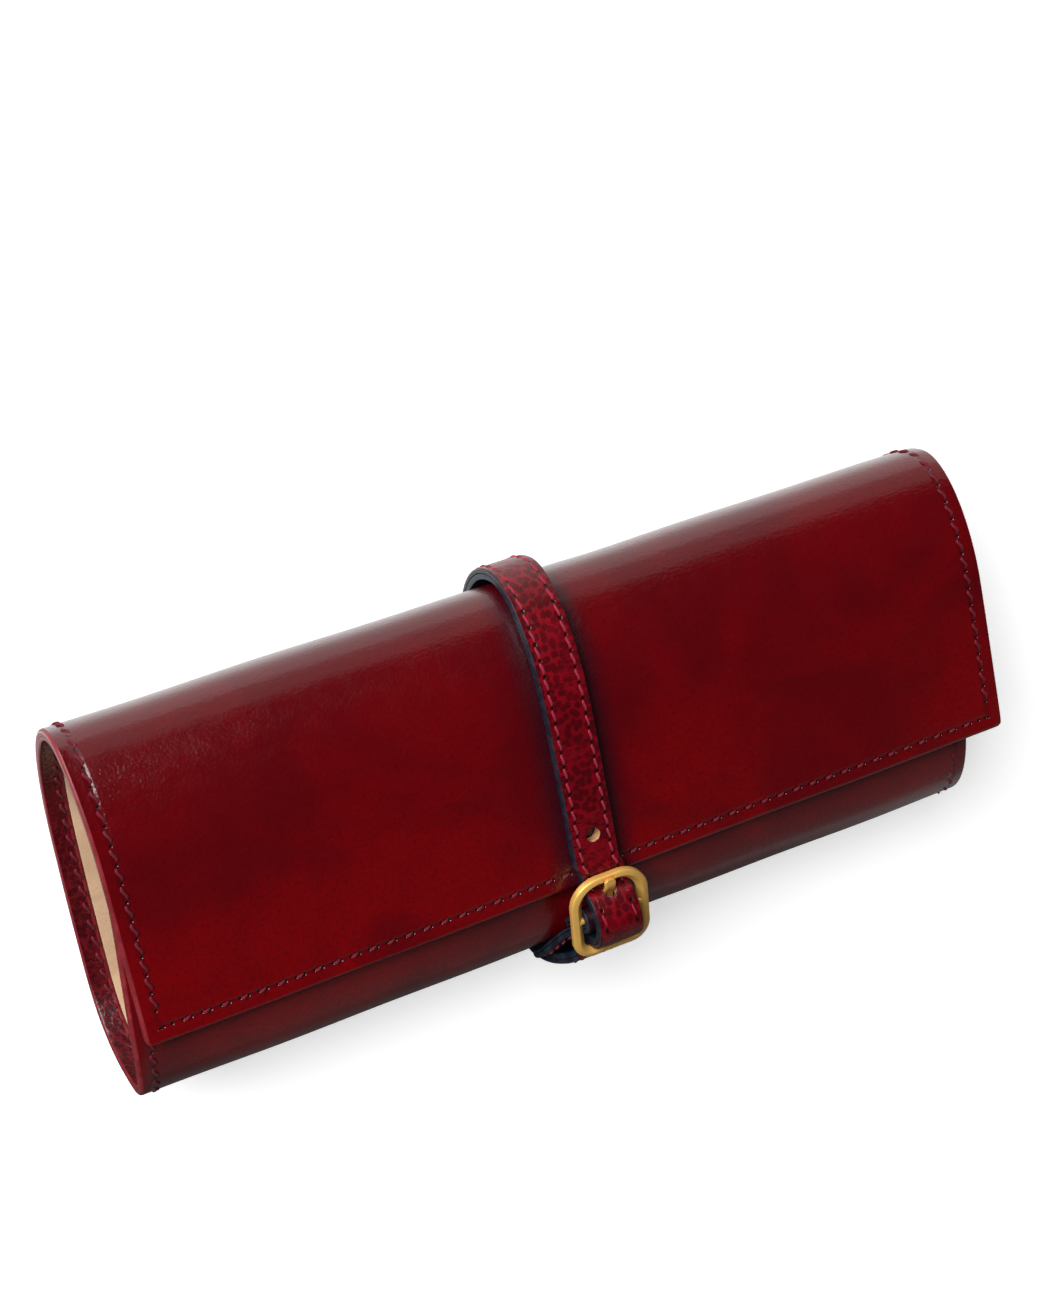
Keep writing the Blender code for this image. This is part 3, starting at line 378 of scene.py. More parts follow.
def sheet_slab(name, start, end, x0, x1, low, top, materials, r_top, r_low, columns, corner=0.0010,
               round_start=False, round_end=False):
    """A slab that follows the sheet, with rounded edges and, where asked, rounded ends."""
    reach = max(r_top, r_low, corner)
    ends = end_steps(reach)
    inner_start = start + (reach if round_start else 0.0)
    inner_end = end - (reach if round_end else 0.0)
    lengths = list(np.linspace(inner_start, inner_end, max(2, round((inner_end - inner_start) / SHEET_STEP))))
    if round_start:
        lengths = [start + d for d in ends] + lengths
    if round_end:
        lengths = lengths + [end - d for d in reversed(ends)]
    verts, flats, slots = [], [], []
    for number, length in enumerate(lengths):
        distance = min(length - start if round_start else reach, end - length if round_end else reach)
        side = corner_inset(distance, corner)
        up, down = corner_inset(distance, r_top), corner_inset(distance, r_low)
        loop, edge = slab_loop(x0 + side, x1 - side, low + down, top - up, r_top, r_low, columns)
        xs, heights = np.array(loop).T
        verts.append(on_sheet(xs, length, heights))
        flats.append(np.stack([xs, np.full_like(xs, length), heights], axis=-1))
        if number < len(lengths) - 1:
            slots.extend(1 if e or distance < r_top * 0.45 else 0 for e in edge)
    slots.extend([1, 1])
    faces = loft_faces(len(lengths), len(loop))
    return add_piece(name, np.concatenate(verts), faces, materials, slots, np.concatenate(flats))


# Materials

class Graph:
    """Builds a material's nodes; every method returns an output socket."""

    def __init__(self, name):
        self.material = bpy.data.materials.new(name)
        self.material.use_nodes = True
        self.nodes = self.material.node_tree.nodes
        self.links = self.material.node_tree.links
        self.shader = self.nodes["Principled BSDF"]

    def plug(self, socket, value):
        if isinstance(value, bpy.types.NodeSocket):
            self.links.new(value, socket)
        else:
            socket.default_value = value

    def node(self, kind, inputs, output=0, **settings):
        node = self.nodes.new(f"ShaderNode{kind}")
        for key, value in settings.items():
            setattr(node, key, value)
        for key, value in inputs.items():
            self.plug(node.inputs[key], value)
        return node.outputs[output]

    def math(self, operation, a, b=0.0, c=0.0):
        return self.node("Math", {0: a, 1: b, 2: c}, operation=operation)

    plus = partialmethod(math, "ADD")
    minus = partialmethod(math, "SUBTRACT")
    times = partialmethod(math, "MULTIPLY")
    size = partialmethod(math, "ABSOLUTE")
    larger = partialmethod(math, "MAXIMUM")

    def where(self, use_flat=False):
        """The place in the piece, or in the sheet before it was rolled."""
        if use_flat:
            return self.node("Attribute", {}, "Vector", attribute_name="flat")
        return self.node("TexCoord", {}, "Object")

    def split(self, vector):
        node = self.nodes.new("ShaderNodeSeparateXYZ")
        self.links.new(vector, node.inputs[0])
        return node.outputs

    def scaled(self, vector, scale):
        return self.node("VectorMath", {0: vector, 1: scale}, operation="MULTIPLY")

    def noise(self, vector, scale, detail, roughness=0.5, distortion=0.0):
        return self.node("TexNoise", {"Vector": vector, "Scale": scale, "Detail": detail, "Roughness": roughness,
                                      "Distortion": distortion})

    def cells(self, vector, scale, smoothness, randomness=1.0, dimensions="3D"):
        inputs = {"Vector": vector, "Scale": scale, "Randomness": randomness, "Smoothness": smoothness}
        return self.node("TexVoronoi", inputs, "Distance", feature="SMOOTH_F1", voronoi_dimensions=dimensions)

    def bands(self, vector, scale, distortion):
        inputs = {"Vector": vector, "Scale": scale, "Distortion": distortion}
        return self.node("TexWave", inputs, "Fac", bands_direction="DIAGONAL")

    def fit(self, value, low, high, to_low=0.0, to_high=1.0, smooth=True):
        inputs = {"Value": value, "From Min": low, "From Max": high, "To Min": to_low, "To Max": to_high}
        return self.node("MapRange", inputs, interpolation_type="SMOOTHSTEP" if smooth else "LINEAR")

    def mix(self, share, a, b):
        node = self.nodes.new("ShaderNodeMix")
        node.data_type = "RGBA"
        for socket, value in ((node.inputs[0], share), (node.inputs[6], a), (node.inputs[7], b)):
            self.plug(socket, (*value, 1.0) if isinstance(value, tuple) else value)
        return node.outputs[2]

    def bump(self, height, strength, distance):
        return self.node("Bump", {"Height": height, "Strength": strength, "Distance": distance})

    def finish(self, colour, roughness, normal=None, **constants):
        self.plug(self.shader.inputs["Base Color"], colour)
        self.plug(self.shader.inputs["Roughness"], roughness)
        if normal is not None:
            self.plug(self.shader.inputs["Normal"], normal)
        for key, value in constants.items():
            self.shader.inputs[key].default_value = value
        return self.material


def row_marks(g, across, along, pitch, radius, spread=0.0):
    """How near a point is to a row's stitch holes, from 0 to 1, and to the row's line. The holes lie
    between the stitches, or with a spread this far to either side of each stitch's middle."""
    turn = g.plus(g.math("DIVIDE", along, pitch), 0.5 if spread else 0.0)
    turn = g.minus(g.math("FRACT", turn), 0.5)
    off = g.times(turn, pitch)
    if spread:
        off = g.minus(g.size(off), spread)
    away = g.math("SQRT", g.plus(g.times(across, across), g.times(off, off)))
    hole = g.fit(away, radius, radius * 0.45)
    groove = g.fit(g.size(across), 0.0011, 0.0002)
    return hole, groove


def smooth_leather():
    """Glossy burgundy leather: mottled dye, fine grain, creases at the folds, stitch holes, painted shade and a
    painted shadow.
    """
    g = Graph("smooth_leather_look")
    flat = g.where(True)
    x, s, _ = g.split(flat)
    clouds = g.noise(flat, 24.0, 3.0, 0.55, 0.6)
    patches = g.noise(flat, 95.0, 4.0, 0.6)
    speck = g.noise(flat, 900.0, 3.0, 0.7)
    colour = g.mix(g.fit(clouds, 0.38, 0.62), (0.108, 0.0006, 0.0026), (0.172, 0.0006, 0.0022))
    colour = g.mix(g.fit(patches, 0.42, 0.75, 0.0, 0.30), colour, (0.094, 0.0006, 0.0026))
    colour = g.mix(g.fit(speck, 0.46, 0.70, 0.0, 0.50), colour, (0.066, 0.0006, 0.0022))
    # Painted shade: darker along the back towards the top fold, darkest over the fold, and fading out down the flap
    # to its foot.
    painted_top_shade = g.times(g.minus(1.0, g.fit(s, S_TOP_MID, S_FLAP_END)), g.fit(s, S_BACK_START, S_BACK_END, 0.0, 0.60))
    colour = g.mix(painted_top_shade, colour, (0.064, 0.0006, 0.0026))
    # Painted shadow beside the strap over the flap. Its navy tint is a painted reflection of the strap's dark edge.
    (s0, x0), (s1, x1) = STRAP_DRIFT
    beside = g.size(g.minus(x, g.fit(s, s0, s1, x0, x1, False)))
    painted_strap_shadow = g.times(g.fit(beside, 0.0135, 0.0052), g.fit(s, S_TOP_MID - 0.012, S_TOP_MID + 0.012))
    colour = g.mix(g.times(painted_strap_shadow, 0.80), colour, (0.014, 0.0004, 0.0044))
    side = g.minus(g.size(x), HALF_LENGTH - EDGE_ROW)
    foot = g.minus(s, S_FLAP_END - EDGE_ROW)
    head = g.minus(s, EDGE_ROW)
    at_side = row_marks(g, side, s, EDGE_PITCH, EDGE_HOLE)
    at_foot = row_marks(g, foot, x, EDGE_PITCH, EDGE_HOLE, FOOT_SPREAD)
    at_head = row_marks(g, head, x, EDGE_PITCH, EDGE_HOLE)
    inside = g.math("LESS_THAN", side, ROW_END)
    within = g.times(g.math("GREATER_THAN", head, -ROW_END), g.math("LESS_THAN", foot, ROW_END))
    holes, grooves = (g.larger(g.times(a, within), g.times(g.larger(b, c), inside))
                      for a, b, c in zip(at_side, at_foot, at_head))
    colour = g.mix(g.times(grooves, 0.35), colour, (0.055, 0.0010, 0.0036))
    colour = g.mix(g.times(holes, 0.94), colour, (0.006, 0.0008, 0.0012))
    grain = g.cells(flat, 1250.0, 0.7)
    fine = g.noise(flat, 1500.0, 3.0, 0.65)
    stretched = g.scaled(flat, (0.22, 1.0, 1.0))
    crease = g.noise(stretched, 620.0, 3.0, 0.6, 1.4)
    near_fold = g.fit(s, S_TOP_MID - 0.010, S_TOP_MID + 0.018)
    past_fold = g.fit(s, S_FLAP_START + 0.014, S_FLAP_START - 0.010)
    folding = g.math("MULTIPLY_ADD", g.times(near_fold, past_fold), 0.75, 0.25)
    height = g.plus(g.times(grain, 0.55), g.times(fine, 0.70))
    height = g.plus(height, g.times(g.times(crease, folding), 0.8))
    height = g.minus(height, g.times(holes, 3.5))
    height = g.minus(height, g.times(grooves, 1.6))
    normal = g.bump(height, 0.60, 0.00014)
    roughness = g.fit(g.noise(flat, 260.0, 3.0), 0.3, 0.7, 0.16, 0.22)
    roughness = g.plus(roughness, g.fit(s, 0.060, 0.030, 0.0, 0.14))
    # The painted shadow beside the strap is also made rougher.
    roughness = g.math("MULTIPLY_ADD", painted_strap_shadow, 0.18, roughness)
    return g.finish(colour, roughness, normal, **{"IOR": 1.50, "Coat Weight": 0.4, "Coat Roughness": 0.15})


def edge_paint():
    """The burnished, dyed rim of the leather."""
    g = Graph("edge_paint")
    flat = g.where(True)
    colour = g.mix(g.fit(g.noise(flat, 300.0, 3.0), 0.35, 0.7), (0.160, 0.0080, 0.0120), (0.230, 0.0180, 0.0230))
    height = g.noise(g.scaled(flat, (1.0, 0.35, 1.0)), 1500.0, 2.0)
    return g.finish(colour, 0.45, g.bump(height, 0.30, 0.00010), **{"IOR": 1.50, "Specular IOR Level": 0.38})


def grain_leather(name, scale, colour, dark, use_flat=True, relief=0.00014, row=None):
    """Pebble-grained leather: a bright net of ridges round dark pits, creased across in places."""
    g = Graph(name)
    where = g.where(use_flat)
    x, s, _ = g.split(where)
    drift = g.node("TexNoise", {"Vector": where, "Scale": scale * 0.6}, "Color")
    warped = g.node("VectorMath", {0: where, 1: g.scaled(drift, (0.0011, 0.0011, 0.0))}, operation="ADD")
    cells = g.cells(warped, scale, 0.18, 0.85, "2D")
    crease = g.noise(g.scaled(where, (0.30, 1.0, 0.0)), scale * 1.5, 2.0, 0.5, 1.2)
    creased = g.fit(g.noise(where, 45.0, 1.0), 0.48, 0.60, 0.0, 0.75)
    fine = g.noise(where, scale * 3.2, 2.0, 0.6)
    pit = g.fit(cells, 0.64, 0.30)
    fold = g.fit(crease, 0.52, 0.40)
    low = g.node("Mix", {0: creased, 2: pit, 3: fold})
    shade = g.mix(g.fit(g.noise(where, 130.0, 2.0), 0.35, 0.7, 0.0, 0.35), colour, dark)
    shade = g.mix(g.times(low, 0.92), shade, dark)
    height = g.minus(g.times(fine, 0.18), low)
    if row is not None:
        across, pitch = row
        hole, groove = row_marks(g, g.minus(g.size(x), across), s, pitch, STRAP_HOLE)
        shade = g.mix(g.times(hole, 0.95), shade, (0.004, 0.0006, 0.0012))
        height = g.minus(height, g.plus(g.times(hole, 2.0), g.times(groove, 0.5)))
    roughness = g.fit(fine, 0.3, 0.7, 0.24, 0.34)
    return g.finish(shade, roughness, g.bump(height, 0.35, relief), IOR=1.46)


def navy_edge():
    """The straps' painted edges and dark backing."""
    g = Graph("navy_edge")
    where = g.where()
    colour = g.mix(g.fit(g.noise(where, 420.0, 3.0), 0.35, 0.7), (0.006, 0.010, 0.018), (0.017, 0.026, 0.040))
    height = g.noise(where, 1700.0, 2.0)
    return g.finish(colour, 0.38, g.bump(height, 0.3, 0.00008), **{"IOR": 1.50, "Specular IOR Level": 0.15})


def raw_leather():
    """Undyed leather inside the punched holes."""
    g = Graph("raw_leather")
    where = g.where()
    colour = g.mix(g.fit(g.noise(where, 1500.0, 3.0), 0.3, 0.7), (0.42, 0.20, 0.085), (0.62, 0.36, 0.18))
    return g.finish(colour, 0.75, g.bump(g.noise(where, 3000.0, 2.0), 0.4, 0.0001))


def suede(name, light, dark, use_flat=True):
    """Brushed suede: a soft nap with lighter and darker strokes."""
    g = Graph(name)
    where = g.where(use_flat)
    strokes = g.noise(where, 70.0, 4.0, 0.6, 1.0)
    nap = g.noise(where, 2600.0, 2.0, 0.7)
    colour = g.mix(g.fit(strokes, 0.30, 0.72, 0.25, 0.85), dark, light)
    colour = g.mix(g.fit(nap, 0.45, 0.75, 0.0, 0.35), colour, dark)
    height = g.plus(nap, g.times(g.noise(where, 900.0, 2.0), 0.7))
    return g.finish(colour, 0.95, g.bump(height, 0.55, 0.00016), **{"Sheen Weight": 0.25, "Sheen Roughness": 0.5,
                                                                   "Specular IOR Level": 0.2})


def gold(name, colour, roughness):
    """Satin gold plate with faint brushing."""
    g = Graph(name)
    where = g.where()
    brushed = g.noise(g.scaled(where, (1.0, 0.2, 0.2)), 2600.0, 3.0, 0.6)
    soft = g.noise(where, 320.0, 2.0)
    tone = g.mix(g.fit(soft, 0.3, 0.7, 0.0, 0.5), colour, tuple(c * 0.82 for c in colour))
    rough = g.fit(soft, 0.3, 0.7, roughness - 0.04, roughness + 0.06)
    return g.finish(tone, rough, g.bump(brushed, 0.18, 0.00004), Metallic=0.50)


def thread(name, colour, dark):
    """Twisted sewing thread."""
    g = Graph(name)
    where = g.where()
    twist = g.bands(where, 1100.0, 3.0)
    tone = g.mix(g.times(twist, 0.6), colour, dark)
    return g.finish(tone, 0.65, g.bump(twist, 0.5, 0.0001), **{"Sheen Weight": 0.05, "Specular IOR Level": 0.25})


def zip_tape():
    """Woven zip tape: a fine herringbone."""
    g = Graph("zip_tape_look")
    where = g.where()
    weave = g.times(g.bands(where, 480.0, 0.4), g.bands(g.scaled(where, (-1.0, 1.0, 1.0)), 480.0, 0.0))
    tone = g.mix(weave, (0.20, 0.12, 0.055), (0.40, 0.26, 0.13))
    return g.finish(tone, 0.85, g.bump(weave, 0.6, 0.0001), **{"Sheen Weight": 0.2})


# Stitches

def stitch_mesh(seats, radius, rise, slant, sides=6, rings=7):
    """Threads between pairs of holes. Each seat is (start, end, normal)."""
    verts, faces = [], []
    for start, end, normal in seats:
        way = end - start
        size = np.linalg.norm(way)
        way = way / size
        normal = normal - way * normal.dot(way)
        normal /= np.linalg.norm(normal)
        across = np.cross(normal, way)
        first = len(verts)
        for k in range(rings):
            t = k / (rings - 1)
            bow = sin(pi * t) ** 0.6
            centre = start + way * size * t + across * slant * sin(2 * pi * (t - 0.5)) * 0.5 \
                + across * slant * (t - 0.5) + normal * (rise * bow - radius * 0.9 * (1 - bow))
            thick = radius * (0.55 + 0.45 * bow)
            for j in range(sides):
                a = 2 * pi * j / sides
                verts.append(centre + thick * (cos(a) * across + 0.8 * sin(a) * normal))
        faces.extend(tuple(first + v for v in f) for f in loft_faces(rings, sides))
    return verts, faces


def seat(a, b, normal, share):
    """A stitch between two places, over this share of the way."""
    centre, reach = (a + b) / 2, (b - a) / 2 * share
    return centre - reach, centre + reach, normal


def sheet_seats(xs, lengths, height, share=0.80):
    """Seats along a row on the sheet, given as hole places (x, developed length)."""
    seats = []
    for (xa, sa), (xb, sb) in zip(zip(xs, lengths), zip(xs[1:], lengths[1:])):
        a, b = on_sheet(xa, sa, height), on_sheet(xb, sb, height)
        middle = ((xa + xb) / 2, (sa + sb) / 2)
        normal = (on_sheet(*middle, 0.001) - on_sheet(*middle, 0.0)) * (1.0 if height > LEATHER_INNER / 2 else -1.0)
        seats.append(seat(a, b, normal, share))
    return seats


def hole_places(start, end, pitch):
    """Places of stitch holes: the middles of the pitches that the leather's marks repeat on."""
    first = math.ceil(start / pitch - 0.5)
    last = math.floor(end / pitch - 0.5)
    return (np.arange(first, last + 1) + 0.5) * pitch


def thread_row(name, seats, material, radius=0.00042, rise=0.00030, slant=0.0006):
    verts, faces = stitch_mesh(seats, radius, rise, slant)
    return add_piece(name, verts, faces, [material])


# Looks

leather_look = smooth_leather()
edge_look = edge_paint()
strap_look = grain_leather("strap_grain", 560.0, (0.190, 0.0012, 0.0066), (0.058, 0.0004, 0.0026),
                           row=(STRAP_WIDTH / 2 - STRAP_ROW, STRAP_PITCH))
# Painted shade: the fixed strap gets a near-black, navy-tinted copy of the strap's grain all over, which also darkens
# its widened loop inside the buckle.
shaded_fixed_strap_look = grain_leather("fixed_strap_shaded_grain", 440.0, (0.040, 0.0030, 0.0090), (0.012, 0.0016, 0.0050),
                                 row=(STRAP_WIDTH / 2 - STRAP_ROW, STRAP_PITCH))
band_look = grain_leather("band_grain", 620.0, (0.110, 0.0030, 0.0080), (0.040, 0.0010, 0.0030), True, 0.00012)
tab_look = grain_leather("tab_grain", 900.0, (0.140, 0.0030, 0.0080), (0.040, 0.0010, 0.0030), False, 0.00014)
navy_look = navy_edge()
raw_look = raw_leather()
suede_look = suede("suede_look", (0.62, 0.42, 0.27), (0.44, 0.28, 0.17))
pocket_look = suede("pocket_suede", (0.60, 0.40, 0.26), (0.42, 0.27, 0.165), False)
gold_look = gold("gold_frame", (1.0, 0.57, 0.14), 0.42)
small_gold_look = gold("gold_small", (0.92, 0.60, 0.22), 0.32)
thread_look = thread("edge_thread", (0.150, 0.006, 0.018), (0.070, 0.003, 0.010))
strap_thread_look = thread("strap_thread", (0.360, 0.018, 0.048), (0.130, 0.005, 0.016))
tan_thread_look = thread("tan_thread", (0.42, 0.26, 0.14), (0.25, 0.15, 0.08))
tape_look = zip_tape()


# The rolled sheet, in three stretches

SPANS = {
    "back": (S_BACK_START, S_BACK_END),
    "top": (S_BACK_END, S_FLAP_END),
    "bottom": (0.0, S_BACK_START),
}
NODES = {
    "back": ("back_panel",),
    "top": ("top_fold", "flap"),
    "bottom": ("bottom_fold", "front_panel"),
}
HOLDS = {
    "back": "back",
    "top": ("back", "flap", (0, 0, TOP_BEND[0]), (0, 0, TOP_BEND[1])),
    "bottom": ("back", "front_panel", (0, 0, BOTTOM_BEND[0]), (0, 0, BOTTOM_BEND[1])),
}


def make_sheet():
    inner = HALF_LENGTH - BAND_WIDTH - 0.00003
    for span, (start, end) in SPANS.items():
        free = {"round_start": span == "bottom", "round_end": span == "top"}
        leather = sheet_slab(f"{span}_leather", start, end, -HALF_LENGTH, HALF_LENGTH, LEATHER_INNER, 0.0,
                             [leather_look, edge_look], *LEATHER_EDGES, 100, SHEET_CORNER, **free)
        settle(leather, HOLDS[span], "smooth_leather", *NODES[span])
        low = start + FACING_WIDTH if span == "bottom" else start
        high = end - FACING_WIDTH if span == "top" else end
        lining = sheet_slab(f"{span}_lining_suede", low, high, -inner, inner, LINING_INNER, LAYER_TOP,
                            [suede_look], *LINING_EDGES, 60)
        settle(lining, HOLDS[span], "suede", *(f"{n}_lining" for n in NODES[span]))
        for side, x0 in (("left", -HALF_LENGTH), ("right", HALF_LENGTH - BAND_WIDTH)):
            band = sheet_slab(f"{span}_{side}_band", start, end, x0, x0 + BAND_WIDTH, BAND_INNER, LAYER_TOP,
                              [band_look, edge_look], *BAND_EDGES, 12, SHEET_CORNER, **free)
            settle(band, HOLDS[span], "grain_leather", *(f"{n}_band_{side}" for n in NODES[span]))
    for span, node, start, free in (("bottom", "front_edge_facing", 0.0, {"round_start": True}),
                                    ("top", "flap_edge_facing", S_FLAP_END - FACING_WIDTH, {"round_end": True})):
        facing = sheet_slab(f"{span}_facing", start, start + FACING_WIDTH, -inner, inner, BAND_INNER, LAYER_TOP,
                            [band_look, edge_look], *BAND_EDGES, 90, FACING_CORNER, **free)
        settle(facing, HOLDS[span], "grain_leather", node)


def make_sheet_stitches():
    """The rows along the open ends, the bands and both free edges."""
    low, high = EDGE_ROW, S_FLAP_END - EDGE_ROW
    holes = hole_places(low, high, EDGE_PITCH)
    across = hole_places(-HALF_LENGTH + EDGE_ROW, HALF_LENGTH - EDGE_ROW, EDGE_PITCH)
    for span, (start, end) in SPANS.items():
        some = [s for s in holes if start - EDGE_PITCH / 2 <= s < end + EDGE_PITCH / 2]
        for side, name in ((-1, "left"), (1, "right")):
            for height, kind in ((UNDER_BACK if span == "back" else ON_FACE, "outer"), (BAND_INNER, "inner")):
                seats = sheet_seats([side * (HALF_LENGTH - EDGE_ROW)] * len(some), some, height)
                row = thread_row(f"{span}_{name}_{kind}_stitches", seats, thread_look)
                settle(row, HOLDS[span], "grain_leather")
    for span, place in (("top", S_FLAP_END - EDGE_ROW), ("bottom", EDGE_ROW)):
        for height, kind in ((ON_FACE, "outer"), (BAND_INNER, "inner")):
            share = 2 * FOOT_SPREAD / EDGE_PITCH if span == "top" and kind == "outer" else 0.8
            seats = sheet_seats(across, [place] * len(across), height, share)
            row = thread_row(f"{span}_edge_{kind}_stitches", seats, thread_look, rise=0.00022, slant=0.0002)
            settle(row, HOLDS[span], "grain_leather")


# Straps

def frame_point(v, w, x=0.0):
    """A world point from the buckle's own axes: v towards the top bar, w outwards."""
    centre = Vector((STRAP_CENTRE_X + BUCKLE_ASIDE, FRONT_START_Y + TOP_BAR_INSET,
                     FRONT_TOP_Z + TOP_BAR_RISE)) - HALF_PITCH * FRAME_V
    return centre + FRAME_V * float(v) + FRAME_W * float(w) + Vector((x, 0.0, 0.0))


FRAME_TURN = Matrix.Translation(frame_point(0.0, 0.0)) @ Matrix.Rotation(FRAME_TILT, 4, "X")


def strap_seat(length, lift, aside=0.0):
    """A place over the sheet on the strap's own line, or this far to its left."""
    _, y, z = on_sheet(STRAP_CENTRE_X, length, lift)
    return Vector((STRAP_CENTRE_X - aside, y, z))


def smooth_route(points, step=ROUTE_STEP):
    """A Catmull-Rom curve through the points, with a point about every step."""
    pts = [Vector(p) for p in points]
    pts = [2 * pts[0] - pts[1], *pts, 2 * pts[-1] - pts[-2]]
    route = []
    for a, b, c, d in zip(pts, pts[1:], pts[2:], pts[3:]):
        count = max(1, round((c - b).length / step))
        for k in range(count):
            t = k / count
            route.append(0.5 * (2 * b + (c - a) * t + (2 * a - 5 * b + 4 * c - d) * t ** 2
                                + (3 * b - a - 3 * c + d) * t ** 3))
    route.append(pts[-2])
    return route


def strap_line():
    """The closing strap's inner line, from its sewn end round the top fold and over the flap."""
    start = S_BACK_END + STRAP_ANCHOR_SHARE * (S_TOP_MID - S_BACK_END)
    flap = LENGTHS >= S_FLAP_START
    end = float(np.interp(-TIP_START_Y, -LINE[flap, 0], LENGTHS[flap]))
    line = []
    for length in np.linspace(start, end, round((end - start) / ROUTE_STEP)):
        over_fold = min((length - start) / (S_FLAP_START - start), 1.0)
        line.append(strap_seat(length, SEAT_GAP + STRAP_SLACK * sin(pi * over_fold) ** 2))
    return line


def tip_line(first):
    """The strap's tip: under the top bar, over the centre bar, under the foot bar and down."""
    under = -(FRAME_THICKNESS / 2 + BAR_CLEARANCE + STRAP_THICKNESS)
    over = LOOP_RADIUS + FIXED_THICKNESS + BAR_CLEARANCE
    along_shares = (1.0, 0.84, 0.555, 0.365, 0.0, -0.28, -0.50, -0.59, -0.64, -0.81, -1.0)
    height_shares = (-0.01, -0.01, 0.18, 0.69, 1.0, 0.957, 0.738, 0.518, 0.248, 0.0, -0.07)
    points = [frame_point(a * HALF_PITCH, under + (over - under) * h) for a, h in zip(along_shares, height_shares)]
    clear = SEAT_GAP + CARRIER_SLACK + FIXED_THICKNESS + BAR_CLEARANCE
    start_x = points[-1].x
    for around, slack, share in ((-0.30, 0.9, 0.35), (0.06, 1.0, 0.7), (TIP_LENGTH_SHARE, 0.4, 1.0)):
        fold = S_BACK_START - S_FOLD_MID if around > 0.0 else S_FOLD_MID - S_FRONT_END
        place = strap_seat(S_FOLD_MID + around * fold, clear + TIP_SLACK * slack, CARRIER_START_ASIDE)
        place.x = start_x + (place.x - start_x) * share
        points.append(place)
    return smooth_route([first, *points])


def carrier_line():
    """The fixed strap: from its sewn end up the bottom fold, round the centre bar and back."""
    bar = frame_point(0.0, 0.0)
    start = S_BACK_START - CARRIER_ANCHOR_SHARE * (S_BACK_START - S_FOLD_MID)
    leave = S_FOLD_MID - CARRIER_LEAVE_SHARE * (S_FOLD_MID - S_FRONT_END)
    points = []
    for share in np.linspace(0.0, 1.0, 9):
        lift = SEAT_GAP + CARRIER_SLACK * sin(pi / 2 * share) ** 2
        aside = CARRIER_START_ASIDE + (CARRIER_LEAVE_ASIDE - CARRIER_START_ASIDE) * share
        points.append(strap_seat(start + (leave - start) * share, lift, aside))
    along = Vector((0.0, cos(CARRIER_APPROACH), sin(CARRIER_APPROACH)))
    out = Vector((0.0, -sin(CARRIER_APPROACH), cos(CARRIER_APPROACH)))
    middle = bar - CARRIER_FOLD_BACK * along + SEAT_GAP / 2 * out
    middle.x = (bar.x + points[-1].x) / 2
    line = smooth_route([*points, middle, bar + LOOP_RADIUS * out])
    for k in range(1, 19):
        angle = pi * k / 18
        line.append(bar + LOOP_RADIUS * (cos(angle) * out + sin(angle) * along))
    steps = round(CARRIER_FOLD_BACK / ROUTE_STEP)
    for k in range(1, steps + 1):
        apart = LOOP_RADIUS + (SEAT_GAP / 2 - LOOP_RADIUS) * k / steps
        step = bar - (CARRIER_FOLD_BACK * k / steps) * along - apart * out
        step.x = bar.x + (middle.x - bar.x) * k / steps
        line.append(step)
    return line


def route_places(line, side):
    """Stations (x, y, z, ny, nz) along a strap; side is -1 where the outside is on the right."""
    pts = np.array([tuple(p) for p in line])
    tangents = np.gradient(pts[:, 1:], axis=0)
    tangents /= np.linalg.norm(tangents, axis=1)[:, None]
    normals = side * np.column_stack([-tangents[:, 1], tangents[:, 0]])
    return np.column_stack([pts, normals])


def travel_along(places):
    return np.concatenate([[0.0], np.cumsum(np.linalg.norm(np.diff(places[:, :3], axis=0), axis=1))])


def places_at(places, distances):
    travel = travel_along(places)
    return np.column_stack([np.interp(distances, travel, places[:, k]) for k in range(5)])


def ribbon(name, places, low, high, materials, crown, r_top, r_low, widths=None, start=0.0, columns=17):
    """One ply of a strap, with rounded painted edges and a slightly crowned face."""
    half = STRAP_WIDTH / 2
    travel = start + travel_along(places)
    widths = np.ones(len(places)) if widths is None else widths
    verts, slots, flats = [], [], []
    for number, (place, share) in enumerate(zip(places, widths)):
        loop, edge = slab_loop(-half, half, low, high, r_top, r_low, columns)
        for x, h in loop:
            lift = crown * (1 - (x / half) ** 2) * (h - low) / (high - low)
            verts.append((place[0] + x * share, place[1] + (h + lift) * place[3], place[2] + (h + lift) * place[4]))
            flats.append((x * share, travel[number], h))
        if number < len(places) - 1:
            slots.extend(1 if e else 0 for e in edge)
    slots.extend([1, 1])
    return add_piece(name, verts, loft_faces(len(places), len(loop)), materials, slots, flats)


def cutter(bm, material):
    mesh = bpy.data.meshes.new("cutter")
    bm.to_mesh(mesh)
    bm.free()
    if material is not None:
        mesh.materials.append(material)
    return add_object("cutter", mesh)


def round_cutter(start, end, radius, material=None, steps=40):
    axis = Vector(end) - Vector(start)
    turn = axis.to_track_quat("Z", "Y").to_matrix().to_4x4()
    bm = bmesh.new()
    bmesh.ops.create_cone(bm, cap_ends=True, segments=steps, radius1=radius, radius2=radius, depth=axis.length,
                          matrix=Matrix.Translation((Vector(start) + Vector(end)) / 2) @ turn)
    return cutter(bm, material)


def box_cutter(low, high, matrix, material=None):
    bm = bmesh.new()
    size = Vector(high) - Vector(low)
    bmesh.ops.create_cube(bm, size=1.0, matrix=matrix @ Matrix.Translation((Vector(high) + Vector(low)) / 2)
                          @ Matrix.Diagonal((*size, 1.0)))
    return cutter(bm, material)


